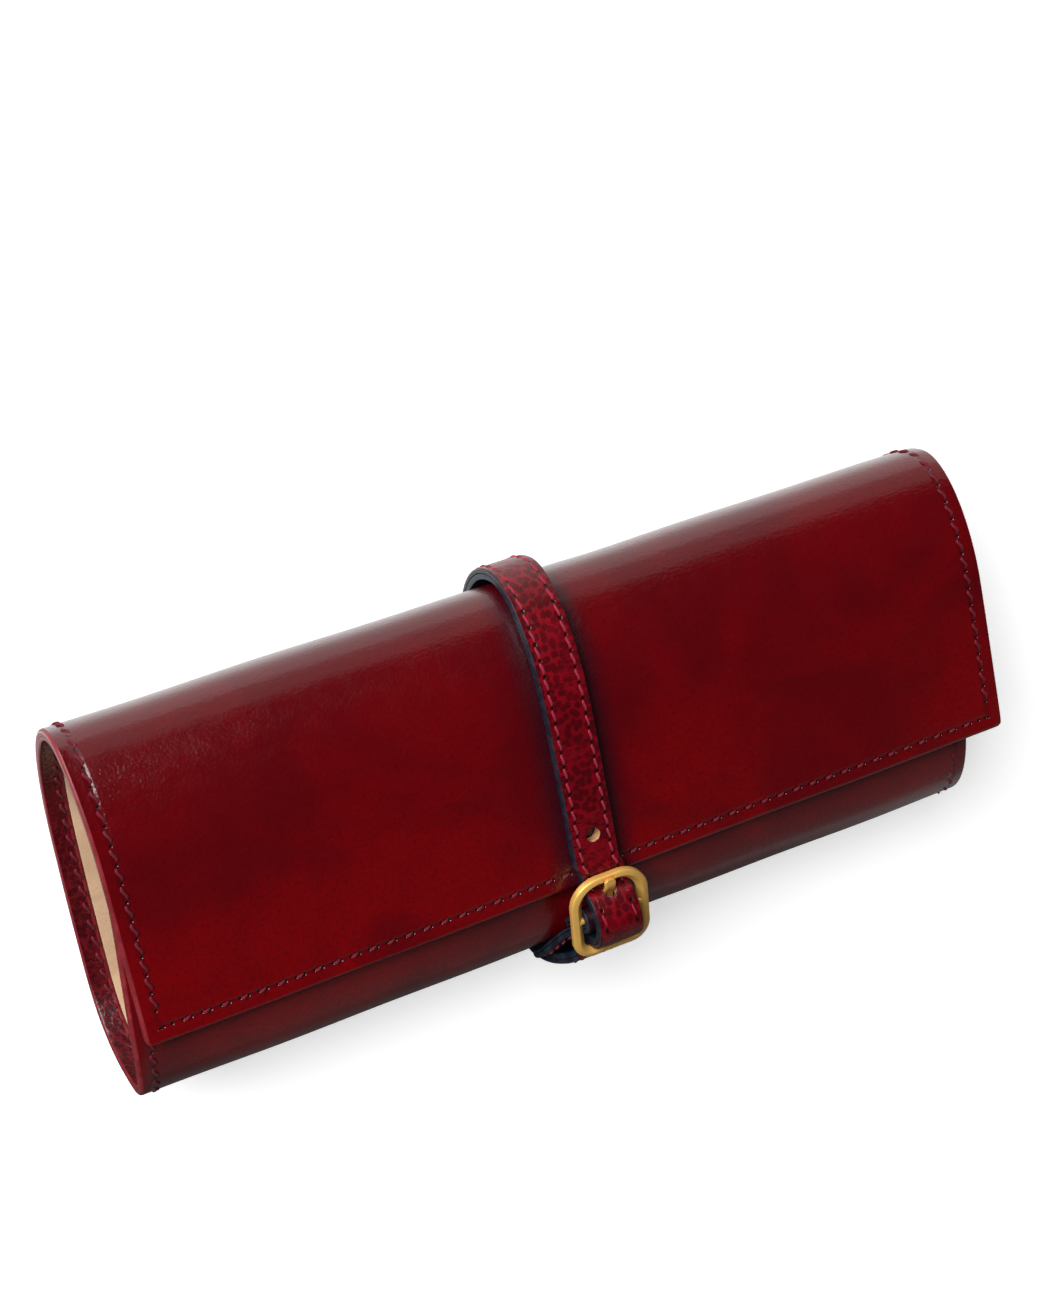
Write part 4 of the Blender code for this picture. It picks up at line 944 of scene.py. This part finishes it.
def cut(piece, tools):
    """Cuts the tools out of a piece and applies the result."""
    for tool in tools:
        modifier = piece.modifiers.new("cut", "BOOLEAN")
        modifier.operation = "DIFFERENCE"
        modifier.solver = "EXACT"
        modifier.use_self = True
        modifier.material_mode = "TRANSFER"
        modifier.object = tool
    bpy.context.view_layer.update()
    graph = bpy.context.evaluated_depsgraph_get()
    mesh = bpy.data.meshes.new_from_object(piece.evaluated_get(graph), depsgraph=graph)
    piece.modifiers.clear()
    old = piece.data
    piece.data = mesh
    bpy.data.meshes.remove(old)
    for tool in tools:
        bpy.data.objects.remove(tool, do_unlink=True)


def strap_stitches(name, places, start, end, height):
    """Both stitch rows of a strap between two distances along it. Its height is over the inner line."""
    holes = hole_places(start, end, STRAP_PITCH)
    seats = []
    for side in (-1, 1):
        x = side * (STRAP_WIDTH / 2 - STRAP_ROW)
        at = places_at(places, holes)
        normal = np.column_stack([np.zeros(len(at)), at[:, 3], at[:, 4]])
        points = at[:, :3] + np.array([x, 0.0, 0.0]) + normal * height
        seats.extend(seat(a, b, n, 0.90) for a, b, n in zip(points, points[1:], normal))
    return thread_row(name, seats, strap_thread_look, *STRAP_THREAD)


def make_strap(name, nodes, holds, places, travel, split, loose, widths, backing, thickness, look, cutters, last):
    """A strap's two plies and its stitches: on its fold up to the split, and loose past it. Holds are
    the fold's and the lift's. Cutters makes fresh tools to cut each loose ply with."""
    plies = (("backing", 0.0, backing, "edge_backing", [navy_look], 0.0, 0.0002, 0.0003),
             ("face", backing + PLY_GAP, thickness, "grain_leather", [look, navy_look], FACE_CROWN, 0.00034, 0.00018))
    for kind, low, high, slot, looks, crown, r_top, r_low in plies:
        fold = ribbon(f"{name}_fold_{kind}", places[:split + 1], low, high, looks, crown, r_top, r_low)
        settle(fold, holds[0], slot, f"{nodes[0]}_fold_{kind}")
        free = ribbon(f"{name}_{kind}", loose, low, high, looks, crown, r_top, r_low, widths, travel[split])
        cut(free, cutters())
        settle(free, holds[1], slot, *(f"{node}_{kind}" for node in nodes))
    first = strap_stitches(f"{name}_fold_stitches", places, FIRST_STITCH, travel[split], thickness)
    settle(first, holds[0], "grain_leather")
    second = strap_stitches(f"{name}_stitches", places, travel[split] - STRAP_PITCH, last, thickness)
    settle(second, holds[1], "grain_leather")


def make_closing_strap():
    line = strap_line()
    tip_start = len(line) - 1
    whole = route_places(line + tip_line(line[-1])[1:], -1)
    travel = travel_along(whole)
    split = next(k for k, p in enumerate(whole) if p[2] > TOP_BEND[1] and p[1] < LIFT_START_Y)
    end = travel[-1]
    turns = np.linspace(0.0, radians(80.0), 12)
    rounded = end - TIP_ROUNDING + TIP_ROUNDING * np.sin(turns) / sin(turns[-1])
    kept = [d for d in travel[split:] if d < end - TIP_ROUNDING - 0.0001]
    free = places_at(whole, np.concatenate([kept, rounded]))
    widths = np.concatenate([np.ones(len(kept)), np.cos(turns)])
    crossing = frame_point(PRONG_CROSS_SHARE * HALF_PITCH, -PRONG_THICKNESS)
    inside = np.arange(travel[tip_start], travel[tip_start] + 2 * HALF_PITCH, 0.0002)
    used = min(inside, key=lambda d: math.dist(places_at(whole, [d])[0][1:3], crossing[1:3])) + HOLE_PAST_CROSSING

    def punches():
        tools = []
        for place in places_at(whole, [used - HOLE_PITCH, used, used + HOLE_PITCH]):
            middle, normal = Vector(place[:3]), Vector((0.0, place[3], place[4]))
            tools.append(round_cutter(middle - 0.004 * normal, middle + 0.004 * normal, HOLE_RADIUS, raw_look))
        return tools

    lift = ("flap", "strap", (0, LIFT_START_Y, 0), (0, 0, 0))
    make_strap("closing_strap", ("strap", "strap_tip"), (HOLDS["top"], lift), whole, travel, split, free, widths,
               STRAP_BACKING, STRAP_THICKNESS, strap_look, punches, end - LAST_STITCH_INSET)


def make_buckle_strap():
    places = route_places(carrier_line(), 1)
    travel = travel_along(places)
    bar = frame_point(0.0, 0.0)
    level = FRONT_TOP_Z - BOTTOM_UPPER[1] + CARRIER_CUT_SHARE * BOTTOM_UPPER[1]
    split = next(k for k, p in enumerate(places) if p[2] > level)
    round_bar = [math.hypot(p[1] - bar.y, p[2] - bar.z) for p in places[split:]]
    loop = [k for k, away in enumerate(round_bar) if away < LOOP_RADIUS * 1.05]
    steps, marks = np.arange(len(round_bar)), (loop[0] - 9, loop[0] - 1, loop[-1], loop[-1] + 6)
    widths = np.interp(steps, marks, (1.0, LOOP_SPREAD, LOOP_SPREAD, 0.84))
    places[split:, 0] -= np.interp(steps, marks, (0.0, LOOP_ASIDE, LOOP_ASIDE, 0.0))
    slot_half = PRONG_WIDTH / 2 + SLOT_CLEARANCE
    reach = EYE_RADIUS + FIXED_THICKNESS

    def slot_box():
        return [box_cutter((-slot_half, -EYE_RADIUS, -EYE_RADIUS - SEAT_GAP), (slot_half, reach + SEAT_GAP, reach),
                           FRAME_TURN, navy_look)]

    lift = ("front_panel", "buckle_strap", (0, 0, level), (0, 0, level + LIFT_BEND_HEIGHT))
    # The fixed strap wears the painted-shade copy of the strap's grain.
    make_strap("fixed_strap", ("buckle_strap",), (HOLDS["bottom"], lift), places, travel, split, places[split:],
               widths, FIXED_BACKING, FIXED_THICKNESS, shaded_fixed_strap_look, slot_box, travel[-1])


# Buckle

def make_buckle():
    half_x = (FRAME_WIDTH - FRAME_SIDE) / 2
    outline = rounded_outline(-half_x, half_x, -HALF_PITCH, HALF_PITCH, FRAME_CORNERS, 14, 8)
    count = len(outline)
    half_w = FRAME_THICKNESS / 2
    shape = ((0.80, -1.0), (0.93, -0.86), (0.99, -0.5), (1.0, -0.1), (1.0, 0.34), (0.98, 0.50), (0.92, 0.62),
             (0.84, 0.70), (0.50, 0.86), (0.10, 1.0), (0.0, 1.02), (-0.08, 1.0), (-0.16, 0.93), (-0.80, 0.24),
             (-0.95, 0.04), (-1.0, -0.10), (-0.97, -0.4), (-0.88, -0.86), (-0.74, -1.0), (0.0, -1.02))
    verts = []
    for k, (x, v) in enumerate(outline):
        before, after = outline[k - 1], outline[(k + 1) % count]
        way = Vector((after[0] - before[0], after[1] - before[1])).normalized()
        out = Vector((way.y, -way.x))
        half = (FRAME_BAR + (FRAME_SIDE - FRAME_BAR) * abs(out.x)) / 2
        verts.extend(frame_point(v + a * half * out.y, w * half_w, x + a * half * out.x) for a, w in shape)
    frame_piece = add_piece("frame_ring", verts, loft_faces(count, len(shape), True), [gold_look], None, None, 24.0)
    notch = PRONG_WIDTH / 2 + SEAT_GAP
    cut(frame_piece, [box_cutter((-notch, HALF_PITCH - FRAME_BAR, half_w - PRONG_NOTCH),
                                 (notch, HALF_PITCH + PRONG_OVERHANG + SEAT_GAP, half_w + 0.004), FRAME_TURN)])
    settle(frame_piece, "buckle_frame", "gold", "buckle_frame")
    rings = 25

    def bar_point(k, a):
        x = -half_x + 2 * half_x * k / (rings - 1)
        radius = CENTRE_BAR_RADIUS + 0.0002 * (abs(x) / half_x) ** 6
        return frame_point(radius * cos(a), radius * sin(a), x)

    settle(tube("frame_centre_bar", gold_look, rings, 20, bar_point), "buckle_frame", "gold")
    make_prong()


def make_prong():
    """The prong: an eye round the centre bar and a bent, round-ended tongue."""
    rest = FRAME_THICKNESS / 2 - PRONG_NOTCH + SEAT_GAP / 2 + PRONG_THICKNESS / 2
    controls = [(EYE_RADIUS - EYE_WALL, -PRONG_THICKNESS), (0.40 * HALF_PITCH, -PRONG_THICKNESS),
                (0.56 * HALF_PITCH, -PRONG_THICKNESS * 0.5), (HALF_PITCH * PRONG_REST_SHARE, rest),
                (HALF_PITCH + PRONG_OVERHANG, rest)]
    line = smooth_route([Vector((0.0, v, w)) for v, w in controls], 0.0005)
    half_x = PRONG_WIDTH / 2
    loop, _ = slab_loop(-half_x, half_x, -PRONG_THICKNESS / 2, PRONG_THICKNESS / 2, 0.0003, 0.0003, 7)
    lengths = [0.0, *accumulate((b - a).length for a, b in zip(line, line[1:]))]
    total = lengths[-1]
    tip = half_x * 0.75
    extra = [total - tip * (1 - sin(radians(a))) for a in range(0, 85, 12)]
    stops = sorted([d for d in lengths if d < total - tip] + extra)
    grid = np.array([tuple(p) for p in line])

    def at(d):
        return np.array([np.interp(d, lengths, grid[:, k]) for k in (1, 2)])

    verts = []
    for d in stops:
        v, w = at(d)
        way = Vector(at(d + 0.0002) - at(d - 0.0002)).normalized()
        short = max(0.0, d - (total - tip)) / tip
        share = max(0.0, 1 - short ** 2.6) ** (1 / 2.6)
        for x, h in loop:
            verts.append(frame_point(v - h * way.y, w + h * way.x, x * max(share, 0.08)))
    tongue = add_piece("prong_tongue", verts, loft_faces(len(stops), len(loop)), [gold_look])
    settle(tongue, "buckle_prong", "gold", "buckle_prong")
    rings = 36
    section = slab_loop(-half_x, half_x, LOOP_RADIUS, EYE_RADIUS, 0.00025, 0.0001, 6)[0]
    verts = []
    for k in range(rings):
        a = 2 * pi * k / rings
        verts.extend(frame_point(r * cos(a), r * sin(a), x) for x, r in section)
    eye = add_piece("prong_eye", verts, loft_faces(rings, len(section), True), [gold_look])
    settle(eye, "buckle_prong", "gold")


# Zip pocket and ring bar inside

POCKET_LENGTH = 0.170
POCKET_LOW_Y = BACK_START_Y + 0.0024
POCKET_WIDTH = 0.0215
POCKET_FLOOR = 0.0015 + 2 * SEAT_GAP + 0.0008
POCKET_ROW = 0.0017
POCKET_PITCH = 0.0028
POCKET_TOP = POCKET_FLOOR + 0.0020
TAPE_Y = POCKET_LOW_Y + POCKET_WIDTH + SEAT_GAP
TAPE_WIDTH = 0.0044
TAPE_THICKNESS = 0.0007
TAPE_ROW = 0.0012
TOOTH_Y = TAPE_Y + TAPE_WIDTH + SEAT_GAP
TOOTH_ROW = 0.0011
TOOTH_HEIGHT = 0.0017
TOOTH_PITCH = 0.0016
MEET_Y = TOOTH_Y + TOOTH_ROW + SEAT_GAP / 2
STOP_LENGTH = 0.0022
SLIDER_PLACE = -0.070
SLIDER_HALF = 0.00425
SLIDER_LOW = POCKET_FLOOR + TAPE_THICKNESS + SEAT_GAP
SLIDER_WALL = 0.0008
SLIDER_TOP = POCKET_FLOOR + TOOTH_HEIGHT + SEAT_GAP + SLIDER_WALL
PULL_LENGTH = 0.018
PULL_WIDTH = 0.0052
PULL_THICKNESS = 0.0011
DECK = POCKET_TOP + SEAT_GAP
BAR_RADIUS = 0.0050
BAR_Y = POCKET_LOW_Y + 0.0100
BAR_Z = DECK + BAR_RADIUS
BAR_LEFT = -0.040
BAR_RIGHT = 0.032
TAB_LENGTH = 0.0150
TAB_WIDTH = 0.0100
TAB_THICKNESS = 0.0012
TAB_EDGE = 0.00025
TAB_ROW = 0.0012
TAB_PITCH = 0.0022
PATCH_LENGTH = 0.0150
FINE_THREAD = (0.00018, 0.00014, 0.0)
POCKET_THREAD = (0.00020, 0.00016, 0.0)
STUD_X = BAR_RIGHT + TAB_LENGTH - TAB_WIDTH / 2


def soft_box(name, low, high, radius, material, crown, columns, rings, corner=0.0):
    """A block with rounded edges, rounded ends and, where asked, a crowned top."""
    length = high[0] - low[0]
    middle = (low[1] + high[1]) / 2
    half = (high[1] - low[1]) / 2
    reach = max(radius, corner)
    ends = end_steps(reach)
    stops = [*ends, *np.linspace(reach, length - reach, rings), *(length - d for d in reversed(ends))]
    verts = []
    for d in stops:
        distance = min(d, length - d)
        side, up = corner_inset(distance, corner), corner_inset(distance, radius)
        loop, _ = slab_loop(low[1] + side, high[1] - side, low[2] + up, high[2] - up, radius, radius, columns)
        along = 1 - abs(2 * d / length - 1) ** 8
        for y, z in loop:
            share = (z - low[2]) / (high[2] - low[2]) * (1 - abs((y - middle) / half) ** 2.5)
            verts.append((low[0] + d, y, z + crown * along * max(share, 0.0)))
    return add_piece(name, verts, loft_faces(len(stops), len(loop)), [material])


def line_seats(points, share=0.7):
    """Seats for upright stitches between points of a level line."""
    places = np.array(points, float)
    return [seat(a, b, np.array((0.0, 0.0, 1.0)), share) for a, b in zip(places, places[1:])]


def piece_from(name, bm, material):
    verts = [v.co[:] for v in bm.verts]
    faces = [tuple(v.index for v in f.verts) for f in bm.faces]
    bm.free()
    return add_piece(name, verts, faces, [material])


def ring_of_points(low, high, z, inset, pitch):
    """Points round a rectangle, for a row of stitches."""
    x0, x1, y0, y1 = low[0] + inset, high[0] - inset, low[1] + inset, high[1] - inset
    corners = [(x0, y0), (x1, y0), (x1, y1), (x0, y1), (x0, y0)]
    points = []
    for (xa, ya), (xb, yb) in zip(corners, corners[1:]):
        count = max(1, round(math.hypot(xb - xa, yb - ya) / pitch))
        points.extend((xa + (xb - xa) * k / count, ya + (yb - ya) * k / count, z) for k in range(count))
    return [*points, (*corners[0], z)]


def tab_stitches(name, low, high, z, inset, body):
    """A row of stitches this far inside a tab's rim."""
    seats = line_seats(ring_of_points(low, high, z, inset, TAB_PITCH))
    settle(thread_row(name, seats, strap_thread_look, *FINE_THREAD), body, "grain_leather")


def make_pocket():
    half = POCKET_LENGTH / 2
    low, high = (-half, POCKET_LOW_Y, POCKET_FLOOR), (half, POCKET_LOW_Y + POCKET_WIDTH, POCKET_TOP)
    pouch = soft_box("pocket_pouch", low, high, 0.0006, pocket_look, 0.0002, 17, 60, 0.003)
    settle(pouch, "back", "suede", "zip_pocket")
    seats = line_seats(ring_of_points(low, high, POCKET_TOP + ON_FACE, POCKET_ROW, POCKET_PITCH))
    settle(thread_row("pocket_stitches", seats, tan_thread_look, *POCKET_THREAD), "back", "zip_tape")
    far_row = MEET_Y + SEAT_GAP / 2
    far_tape = far_row + TOOTH_ROW + SEAT_GAP
    for number, (node, y) in enumerate((("zip_tape_lower", TAPE_Y), ("zip_tape_upper", far_tape))):
        tape_top = POCKET_FLOOR + TAPE_THICKNESS
        tape = soft_box(node + "_woven", (-half, y, POCKET_FLOOR), (half, y + TAPE_WIDTH, tape_top), 0.00022,
                        tape_look, 0.0, 7, 50)
        settle(tape, "back", "zip_tape", node)
        row_y = y + (TAPE_ROW if number == 0 else TAPE_WIDTH - TAPE_ROW)
        points = [(-half + 0.002 + POCKET_PITCH * k, row_y, tape_top + ON_FACE) for k in range(60)]
        row = thread_row(node + "_stitches", line_seats(points), tan_thread_look, *FINE_THREAD)
        settle(row, "back", "zip_tape")
    inner = half - STOP_LENGTH - SEAT_GAP
    count = int((2 * inner - TOOTH_PITCH) / TOOTH_PITCH)
    for side, node in ((-1, "zip_teeth_lower"), (1, "zip_teeth_upper")):
        bm = bmesh.new()
        for k in range(count):
            x = -inner + 0.0006 + TOOTH_PITCH * (k + (0.5 if side > 0 else 0.0))
            y = MEET_Y + side * (TOOTH_ROW + SEAT_GAP) / 2
            for size, off in (((0.00085, TOOTH_ROW, TOOTH_HEIGHT), 0.0),
                              ((0.00055, 0.0005, TOOTH_HEIGHT * 0.6), -side * 0.00058)):
                bmesh.ops.create_cube(bm, size=1.0, matrix=Matrix.Translation(
                    (x, y + off, POCKET_FLOOR + TOOTH_HEIGHT / 2)) @ Matrix.Diagonal((*size, 1.0)))
        bmesh.ops.bevel(bm, geom=list(bm.edges), offset=0.00012, segments=2, affect="EDGES")
        settle(piece_from(node + "_metal", bm, small_gold_look), "back", "gold", node)
        y0 = TOOTH_Y - 0.0002 if side < 0 else far_row + TOOTH_ROW - 0.0003
        cord = soft_box(node + "_cord", (-inner, y0, POCKET_FLOOR + 0.0001), (inner, y0 + 0.0005,
                        POCKET_FLOOR + 0.0012), 0.0002, tape_look, 0.0, 4, 40)
        settle(cord, "back", "zip_tape")
    for node, x in (("zip_stop_left", -half), ("zip_stop_right", half - STOP_LENGTH)):
        stop = soft_box(node + "_metal", (x, TOOTH_Y, POCKET_FLOOR),
                        (x + STOP_LENGTH, far_row + TOOTH_ROW, POCKET_FLOOR + TOOTH_HEIGHT), 0.0004,
                        small_gold_look, 0.0, 5, 5, 0.0005)
        settle(stop, "back", "gold", node)


def plate(name, outline, low, high, bevel, material, cutters=()):
    """A flat plate with this outline, holes punched through it and its edges rounded."""
    bm = bmesh.new()
    lower = [bm.verts.new((x, y, low)) for x, y in outline]
    upper = [bm.verts.new((x, y, high)) for x, y in outline]
    bm.faces.new(lower)
    bm.faces.new(upper)
    for k in range(len(outline)):
        j = (k + 1) % len(outline)
        bm.faces.new((lower[k], lower[j], upper[j], upper[k]))
    rims = [e for e in bm.edges if abs(e.verts[0].co.z - e.verts[1].co.z) < 1e-6]
    bmesh.ops.bevel(bm, geom=rims, offset=bevel, segments=3, affect="EDGES")
    piece = piece_from(name, bm, material)
    if cutters:
        cut(piece, cutters)
    return piece


def make_slider():
    x, y = SLIDER_PLACE, MEET_Y
    reach = TOOTH_ROW + SEAT_GAP / 2 + SEAT_GAP + SLIDER_WALL
    shape = []
    for k in range(48):
        a = 2 * pi * k / 48
        wide = reach * (0.80 + 0.20 * smoothstep(cos(a), -0.6, 0.5))
        shape.append((x + SLIDER_HALF * math.copysign(abs(cos(a)) ** 0.6, cos(a)),
                      y + float(wide) * math.copysign(abs(sin(a)) ** 0.6, sin(a))))
    top = plate("slider_plate", shape, SLIDER_TOP - SLIDER_WALL, SLIDER_TOP, 0.00025, small_gold_look)
    settle(top, "zip_slider", "gold", "zip_slider")
    for side in (-1, 1):
        wall_y = y + side * (reach - 0.0004)
        wall = soft_box(f"slider_wall_{'a' if side < 0 else 'b'}", (x - SLIDER_HALF + 0.0008, wall_y - 0.00035,
                        SLIDER_LOW), (x + SLIDER_HALF - 0.0008, wall_y + 0.00035, SLIDER_TOP - 0.0004), 0.0002,
                        small_gold_look, 0.0, 4, 8)
        settle(wall, "zip_slider", "gold")
    rings = 22

    def lug_point(k, b):
        a = pi * k / (rings - 1)
        out = 0.00038 * cos(b)
        return (x - 0.0016 * cos(a) - out * cos(a), y + 0.00065 * sin(b),
                SLIDER_TOP - 0.0002 + 0.0021 * sin(a) ** 0.7 + out * sin(a))

    settle(tube("slider_lug", small_gold_look, rings, 12, lug_point), "zip_slider", "gold")
    low = SLIDER_TOP + SEAT_GAP
    left = x - 0.0004
    hole = box_cutter((x + 0.0004, y - 0.0010, low - 0.004), (x + 0.0036, y + 0.0010, low + 0.004),
                      Matrix.Identity(4))
    ring = round_cutter((left + 0.0148, y, low - 0.004), (left + 0.0148, y, low + 0.004), 0.0012)
    outline = rounded_outline(left, left + PULL_LENGTH, y - PULL_WIDTH / 2, y + PULL_WIDTH / 2, [0.0020] * 4)
    pull = plate("pull_tab", outline, low, low + PULL_THICKNESS, 0.00028, small_gold_look, (hole, ring))
    settle(pull, "zip_pull", "gold", "zip_pull")


def stud_part(name, low, profile, body):
    """A part of the press stud, turned about its axis; the profile is (radius, height) pairs."""
    def point(k, a):
        radius, height = profile[k]
        return STUD_X + radius * cos(a), BAR_Y + radius * sin(a), low + height

    settle(tube(f"stud_{name}", small_gold_look, len(profile), 48, point, 35.0), body, "gold", f"press_stud_{name}")


def make_ring_bar():
    length = BAR_RIGHT - BAR_LEFT
    rings = 90

    def bar_point(k, b):
        x = BAR_LEFT + length * (1 - cos(pi * k / (rings - 1))) / 2
        end = min(x - BAR_LEFT, BAR_RIGHT - x)
        radius = max(BAR_RADIUS - corner_inset(end, 0.0022) - 0.00012, 0.0004)
        seam = 0.00035 * math.exp(-((((b - radians(200)) + pi) % (2 * pi) - pi) / 0.12) ** 2)
        puff = 0.0001 * sin(x * 520 + 2 * b) * sin(x * 310)
        r = radius - seam + puff - 0.0001
        return x, BAR_Y + r * cos(b), BAR_Z + r * sin(b)

    bar = tube("padded_ring_bar", pocket_look, rings, 40, bar_point)
    settle(bar, "ring_bar", "suede", "ring_bar")
    low_y, high_y = BAR_Y - TAB_WIDTH / 2, BAR_Y + TAB_WIDTH / 2
    tab_low, tab_top, tab_end = BAR_Z - TAB_THICKNESS / 2, BAR_Z + TAB_THICKNESS / 2, BAR_RIGHT + TAB_LENGTH
    outline = rounded_outline(BAR_RIGHT + SEAT_GAP - 0.0008, tab_end, low_y, high_y, [0.0030] * 4)
    tab = plate("bar_tab", outline, tab_low, tab_top, TAB_EDGE, tab_look)
    settle(tab, "ring_bar", "grain_leather", "ring_bar_tab")
    tab_stitches("bar_tab_stitches", (BAR_RIGHT + 0.0004, low_y), (tab_end, high_y), tab_top, TAB_ROW, "ring_bar")
    left, right, patch_top = STUD_X - PATCH_LENGTH / 2, STUD_X + PATCH_LENGTH / 2, DECK + TAB_THICKNESS
    outline = rounded_outline(left, right, low_y, high_y, [0.0025] * 4)
    patch = plate("stud_patch", outline, DECK, patch_top, TAB_EDGE, tab_look)
    settle(patch, "back", "grain_leather", "press_stud_patch")
    tab_stitches("stud_patch_stitches", (left, low_y), (right, high_y), patch_top, TAB_ROW, "back")
    make_hinge_tab()
    base = patch_top + SEAT_GAP
    socket_low = base + 0.0006 + SEAT_GAP
    socket_high = tab_low - SEAT_GAP - socket_low
    post = [(0.0002, 0.0), (0.0039, 0.0), (0.0040, 0.0001), (0.0040, 0.0004), (0.0038, 0.0006), (0.0022, 0.0006),
            (0.0017, 0.0008), (0.0014, 0.0011), (0.0016, socket_high * 0.62), (0.0015, socket_high * 0.80),
            (0.0009, socket_high * 0.88), (0.0002, socket_high * 0.90)]
    stud_part("post", base, post, "back")
    socket = [(0.0020, socket_high * 0.80), (0.0020, 0.0002), (0.0022, 0.0), (0.0037, 0.0), (0.0040, 0.0003),
              (0.0040, socket_high - 0.0002), (0.0038, socket_high), (0.0003, socket_high)]
    stud_part("socket", socket_low, socket, "ring_bar")
    cap = [(0.0042, 0.0), (0.0044, 0.0002), (0.0044, 0.0005), (0.0041, 0.0008), (0.0036, 0.00095), (0.0030, 0.0010),
           (0.0027, 0.00115), (0.0018, 0.00125), (0.0009, 0.0013), (0.0001, 0.0013)]
    stud_part("cap", tab_top + SEAT_GAP, cap, "ring_bar")


def make_hinge_tab():
    """The tab sewn to the pocket that rises to the bar's left end."""
    right, span = BAR_LEFT - SEAT_GAP, 0.0170
    low = DECK + TAB_THICKNESS / 2
    rise = BAR_Z - low
    controls = [Vector((0.0, right - span * (1 - a), low + rise * up)) for a, up in
                ((0.0, 0.0), (0.45, 0.0), (0.6, 0.12), (0.75, 0.55), (0.88, 0.93), (1.0, 1.0))]
    places = route_places(smooth_route(controls, 0.0006), 1)
    half = TAB_WIDTH / 2
    verts = []
    for place, d in zip(places, travel_along(places)):
        side = corner_inset(d, 0.0025)
        loop, _ = slab_loop(-half + side, half - side, -TAB_THICKNESS / 2, TAB_THICKNESS / 2, TAB_EDGE, TAB_EDGE, 9)
        verts.extend((place[1] + h * place[3], BAR_Y + y, place[2] + h * place[4]) for y, h in loop)
    tab = add_piece("bar_hinge_tab", verts, loft_faces(len(places), len(loop)), [tab_look])
    settle(tab, "back", "grain_leather", "ring_bar_hinge_tab")
    tab_stitches("hinge_tab_stitches", (right - span, BAR_Y - half), (right - span * 0.55, BAR_Y + half),
                 DECK + TAB_THICKNESS, 0.0013, "back")


make_sheet()
make_sheet_stitches()
make_closing_strap()
make_buckle_strap()
make_buckle()
make_pocket()
make_slider()
make_ring_bar()


# Studio: floor, soft lamps and camera

CAMERA_PLACE = (-0.17310682762, 0.22263639601, 0.51414066366)
CAMERA_TURN = (0.9617609829, -0.15771139, -0.18485307, -0.12638145)
CAMERA_LENS = 63.504438
CAMERA_SENSOR = 36.0

# Each lamp's name, place, height it aims at over the middle, size and radiance
LAMPS = (
    ("key_box", (-1.05, 1.25, 1.35), 0.03, (1.36, 1.36), 12.0),
    ("back_card", (0.10, 1.20, 0.36), 0.05, (2.4, 0.66), 0.45),
    ("front_card", (0.30, -0.9, 0.42), 0.05, (1.4, 0.8), 0.12),
    ("left_card", (-1.0, -0.50, 0.40), 0.03, (0.7, 0.5), 0.4),
)


def make_floor():
    g = Graph("floor_paper")
    path = g.nodes.new("ShaderNodeLightPath")
    seen, mirrored = path.outputs["Is Camera Ray"], path.outputs["Is Glossy Ray"]
    # Camera rays see an even white backdrop. Glossy rays get painted reflections: the floor glows towards +Y, glows
    # faintly at -Y towards +X, and reflects dark elsewhere.
    x, y, _ = g.split(g.where())
    behind = g.fit(y, -0.02, 0.03)
    aside = g.times(g.fit(y, 0.03, -0.02), g.fit(x, 0.07, 0.18, 0.0, 0.2))
    shine = g.plus(g.times(seen, 0.60), g.times(mirrored, g.plus(behind, aside)))
    g.plug(g.shader.inputs["Emission Strength"], shine)
    g.shader.inputs["Emission Color"].default_value = (1.0, 1.0, 1.0, 1.0)
    # Painted dark reflection: for glossy rays the floor's colour drops to 0.11.
    g.finish(g.mix(mirrored, (0.76, 0.76, 0.76), (0.11, 0.11, 0.11)), 0.9, **{"Specular IOR Level": 0.0})
    mesh = bpy.data.meshes.new("floor")
    mesh.from_pydata([(-4, -4, 0), (4, -4, 0), (4, 4, 0), (-4, 4, 0)], [], [(0, 1, 2, 3)])
    mesh.materials.append(g.material)
    add_object("floor", mesh)


def soft_lamp(name, place, aim_height, size, radiance):
    """A soft box that shines with this radiance."""
    lamp = bpy.data.lights.new(name, "AREA")
    lamp.shape = "RECTANGLE"
    lamp.size, lamp.size_y = size
    lamp.energy = radiance * pi * size[0] * size[1]
    box = add_object(name, lamp)
    box.location = place
    box.rotation_euler = (Vector((0.0, 0.0, aim_height)) - Vector(place)).to_track_quat("-Z", "Y").to_euler()
    box.visible_camera = False


def make_studio():
    make_floor()
    scene = bpy.context.scene
    scene.view_settings.view_transform = "Standard"
    world = bpy.data.worlds.new("studio")
    world.use_nodes = True
    scene.world = world
    back = world.node_tree.nodes["Background"]
    path = world.node_tree.nodes.new("ShaderNodeLightPath")
    level = world.node_tree.nodes.new("ShaderNodeMapRange")
    level.inputs["To Min"].default_value = 0.02
    world.node_tree.links.new(path.outputs["Is Camera Ray"], level.inputs["Value"])
    world.node_tree.links.new(level.outputs["Result"], back.inputs["Strength"])
    back.inputs["Color"].default_value = (1.0, 1.0, 1.0, 1.0)
    for lamp in LAMPS:
        soft_lamp(*lamp)
    lens = bpy.data.cameras.new("camera")
    lens.lens, lens.sensor_width = CAMERA_LENS, CAMERA_SENSOR
    camera = add_object("camera", lens)
    camera.location = CAMERA_PLACE
    camera.rotation_mode = "QUATERNION"
    camera.rotation_quaternion = CAMERA_TURN
    scene.camera = camera


make_studio()
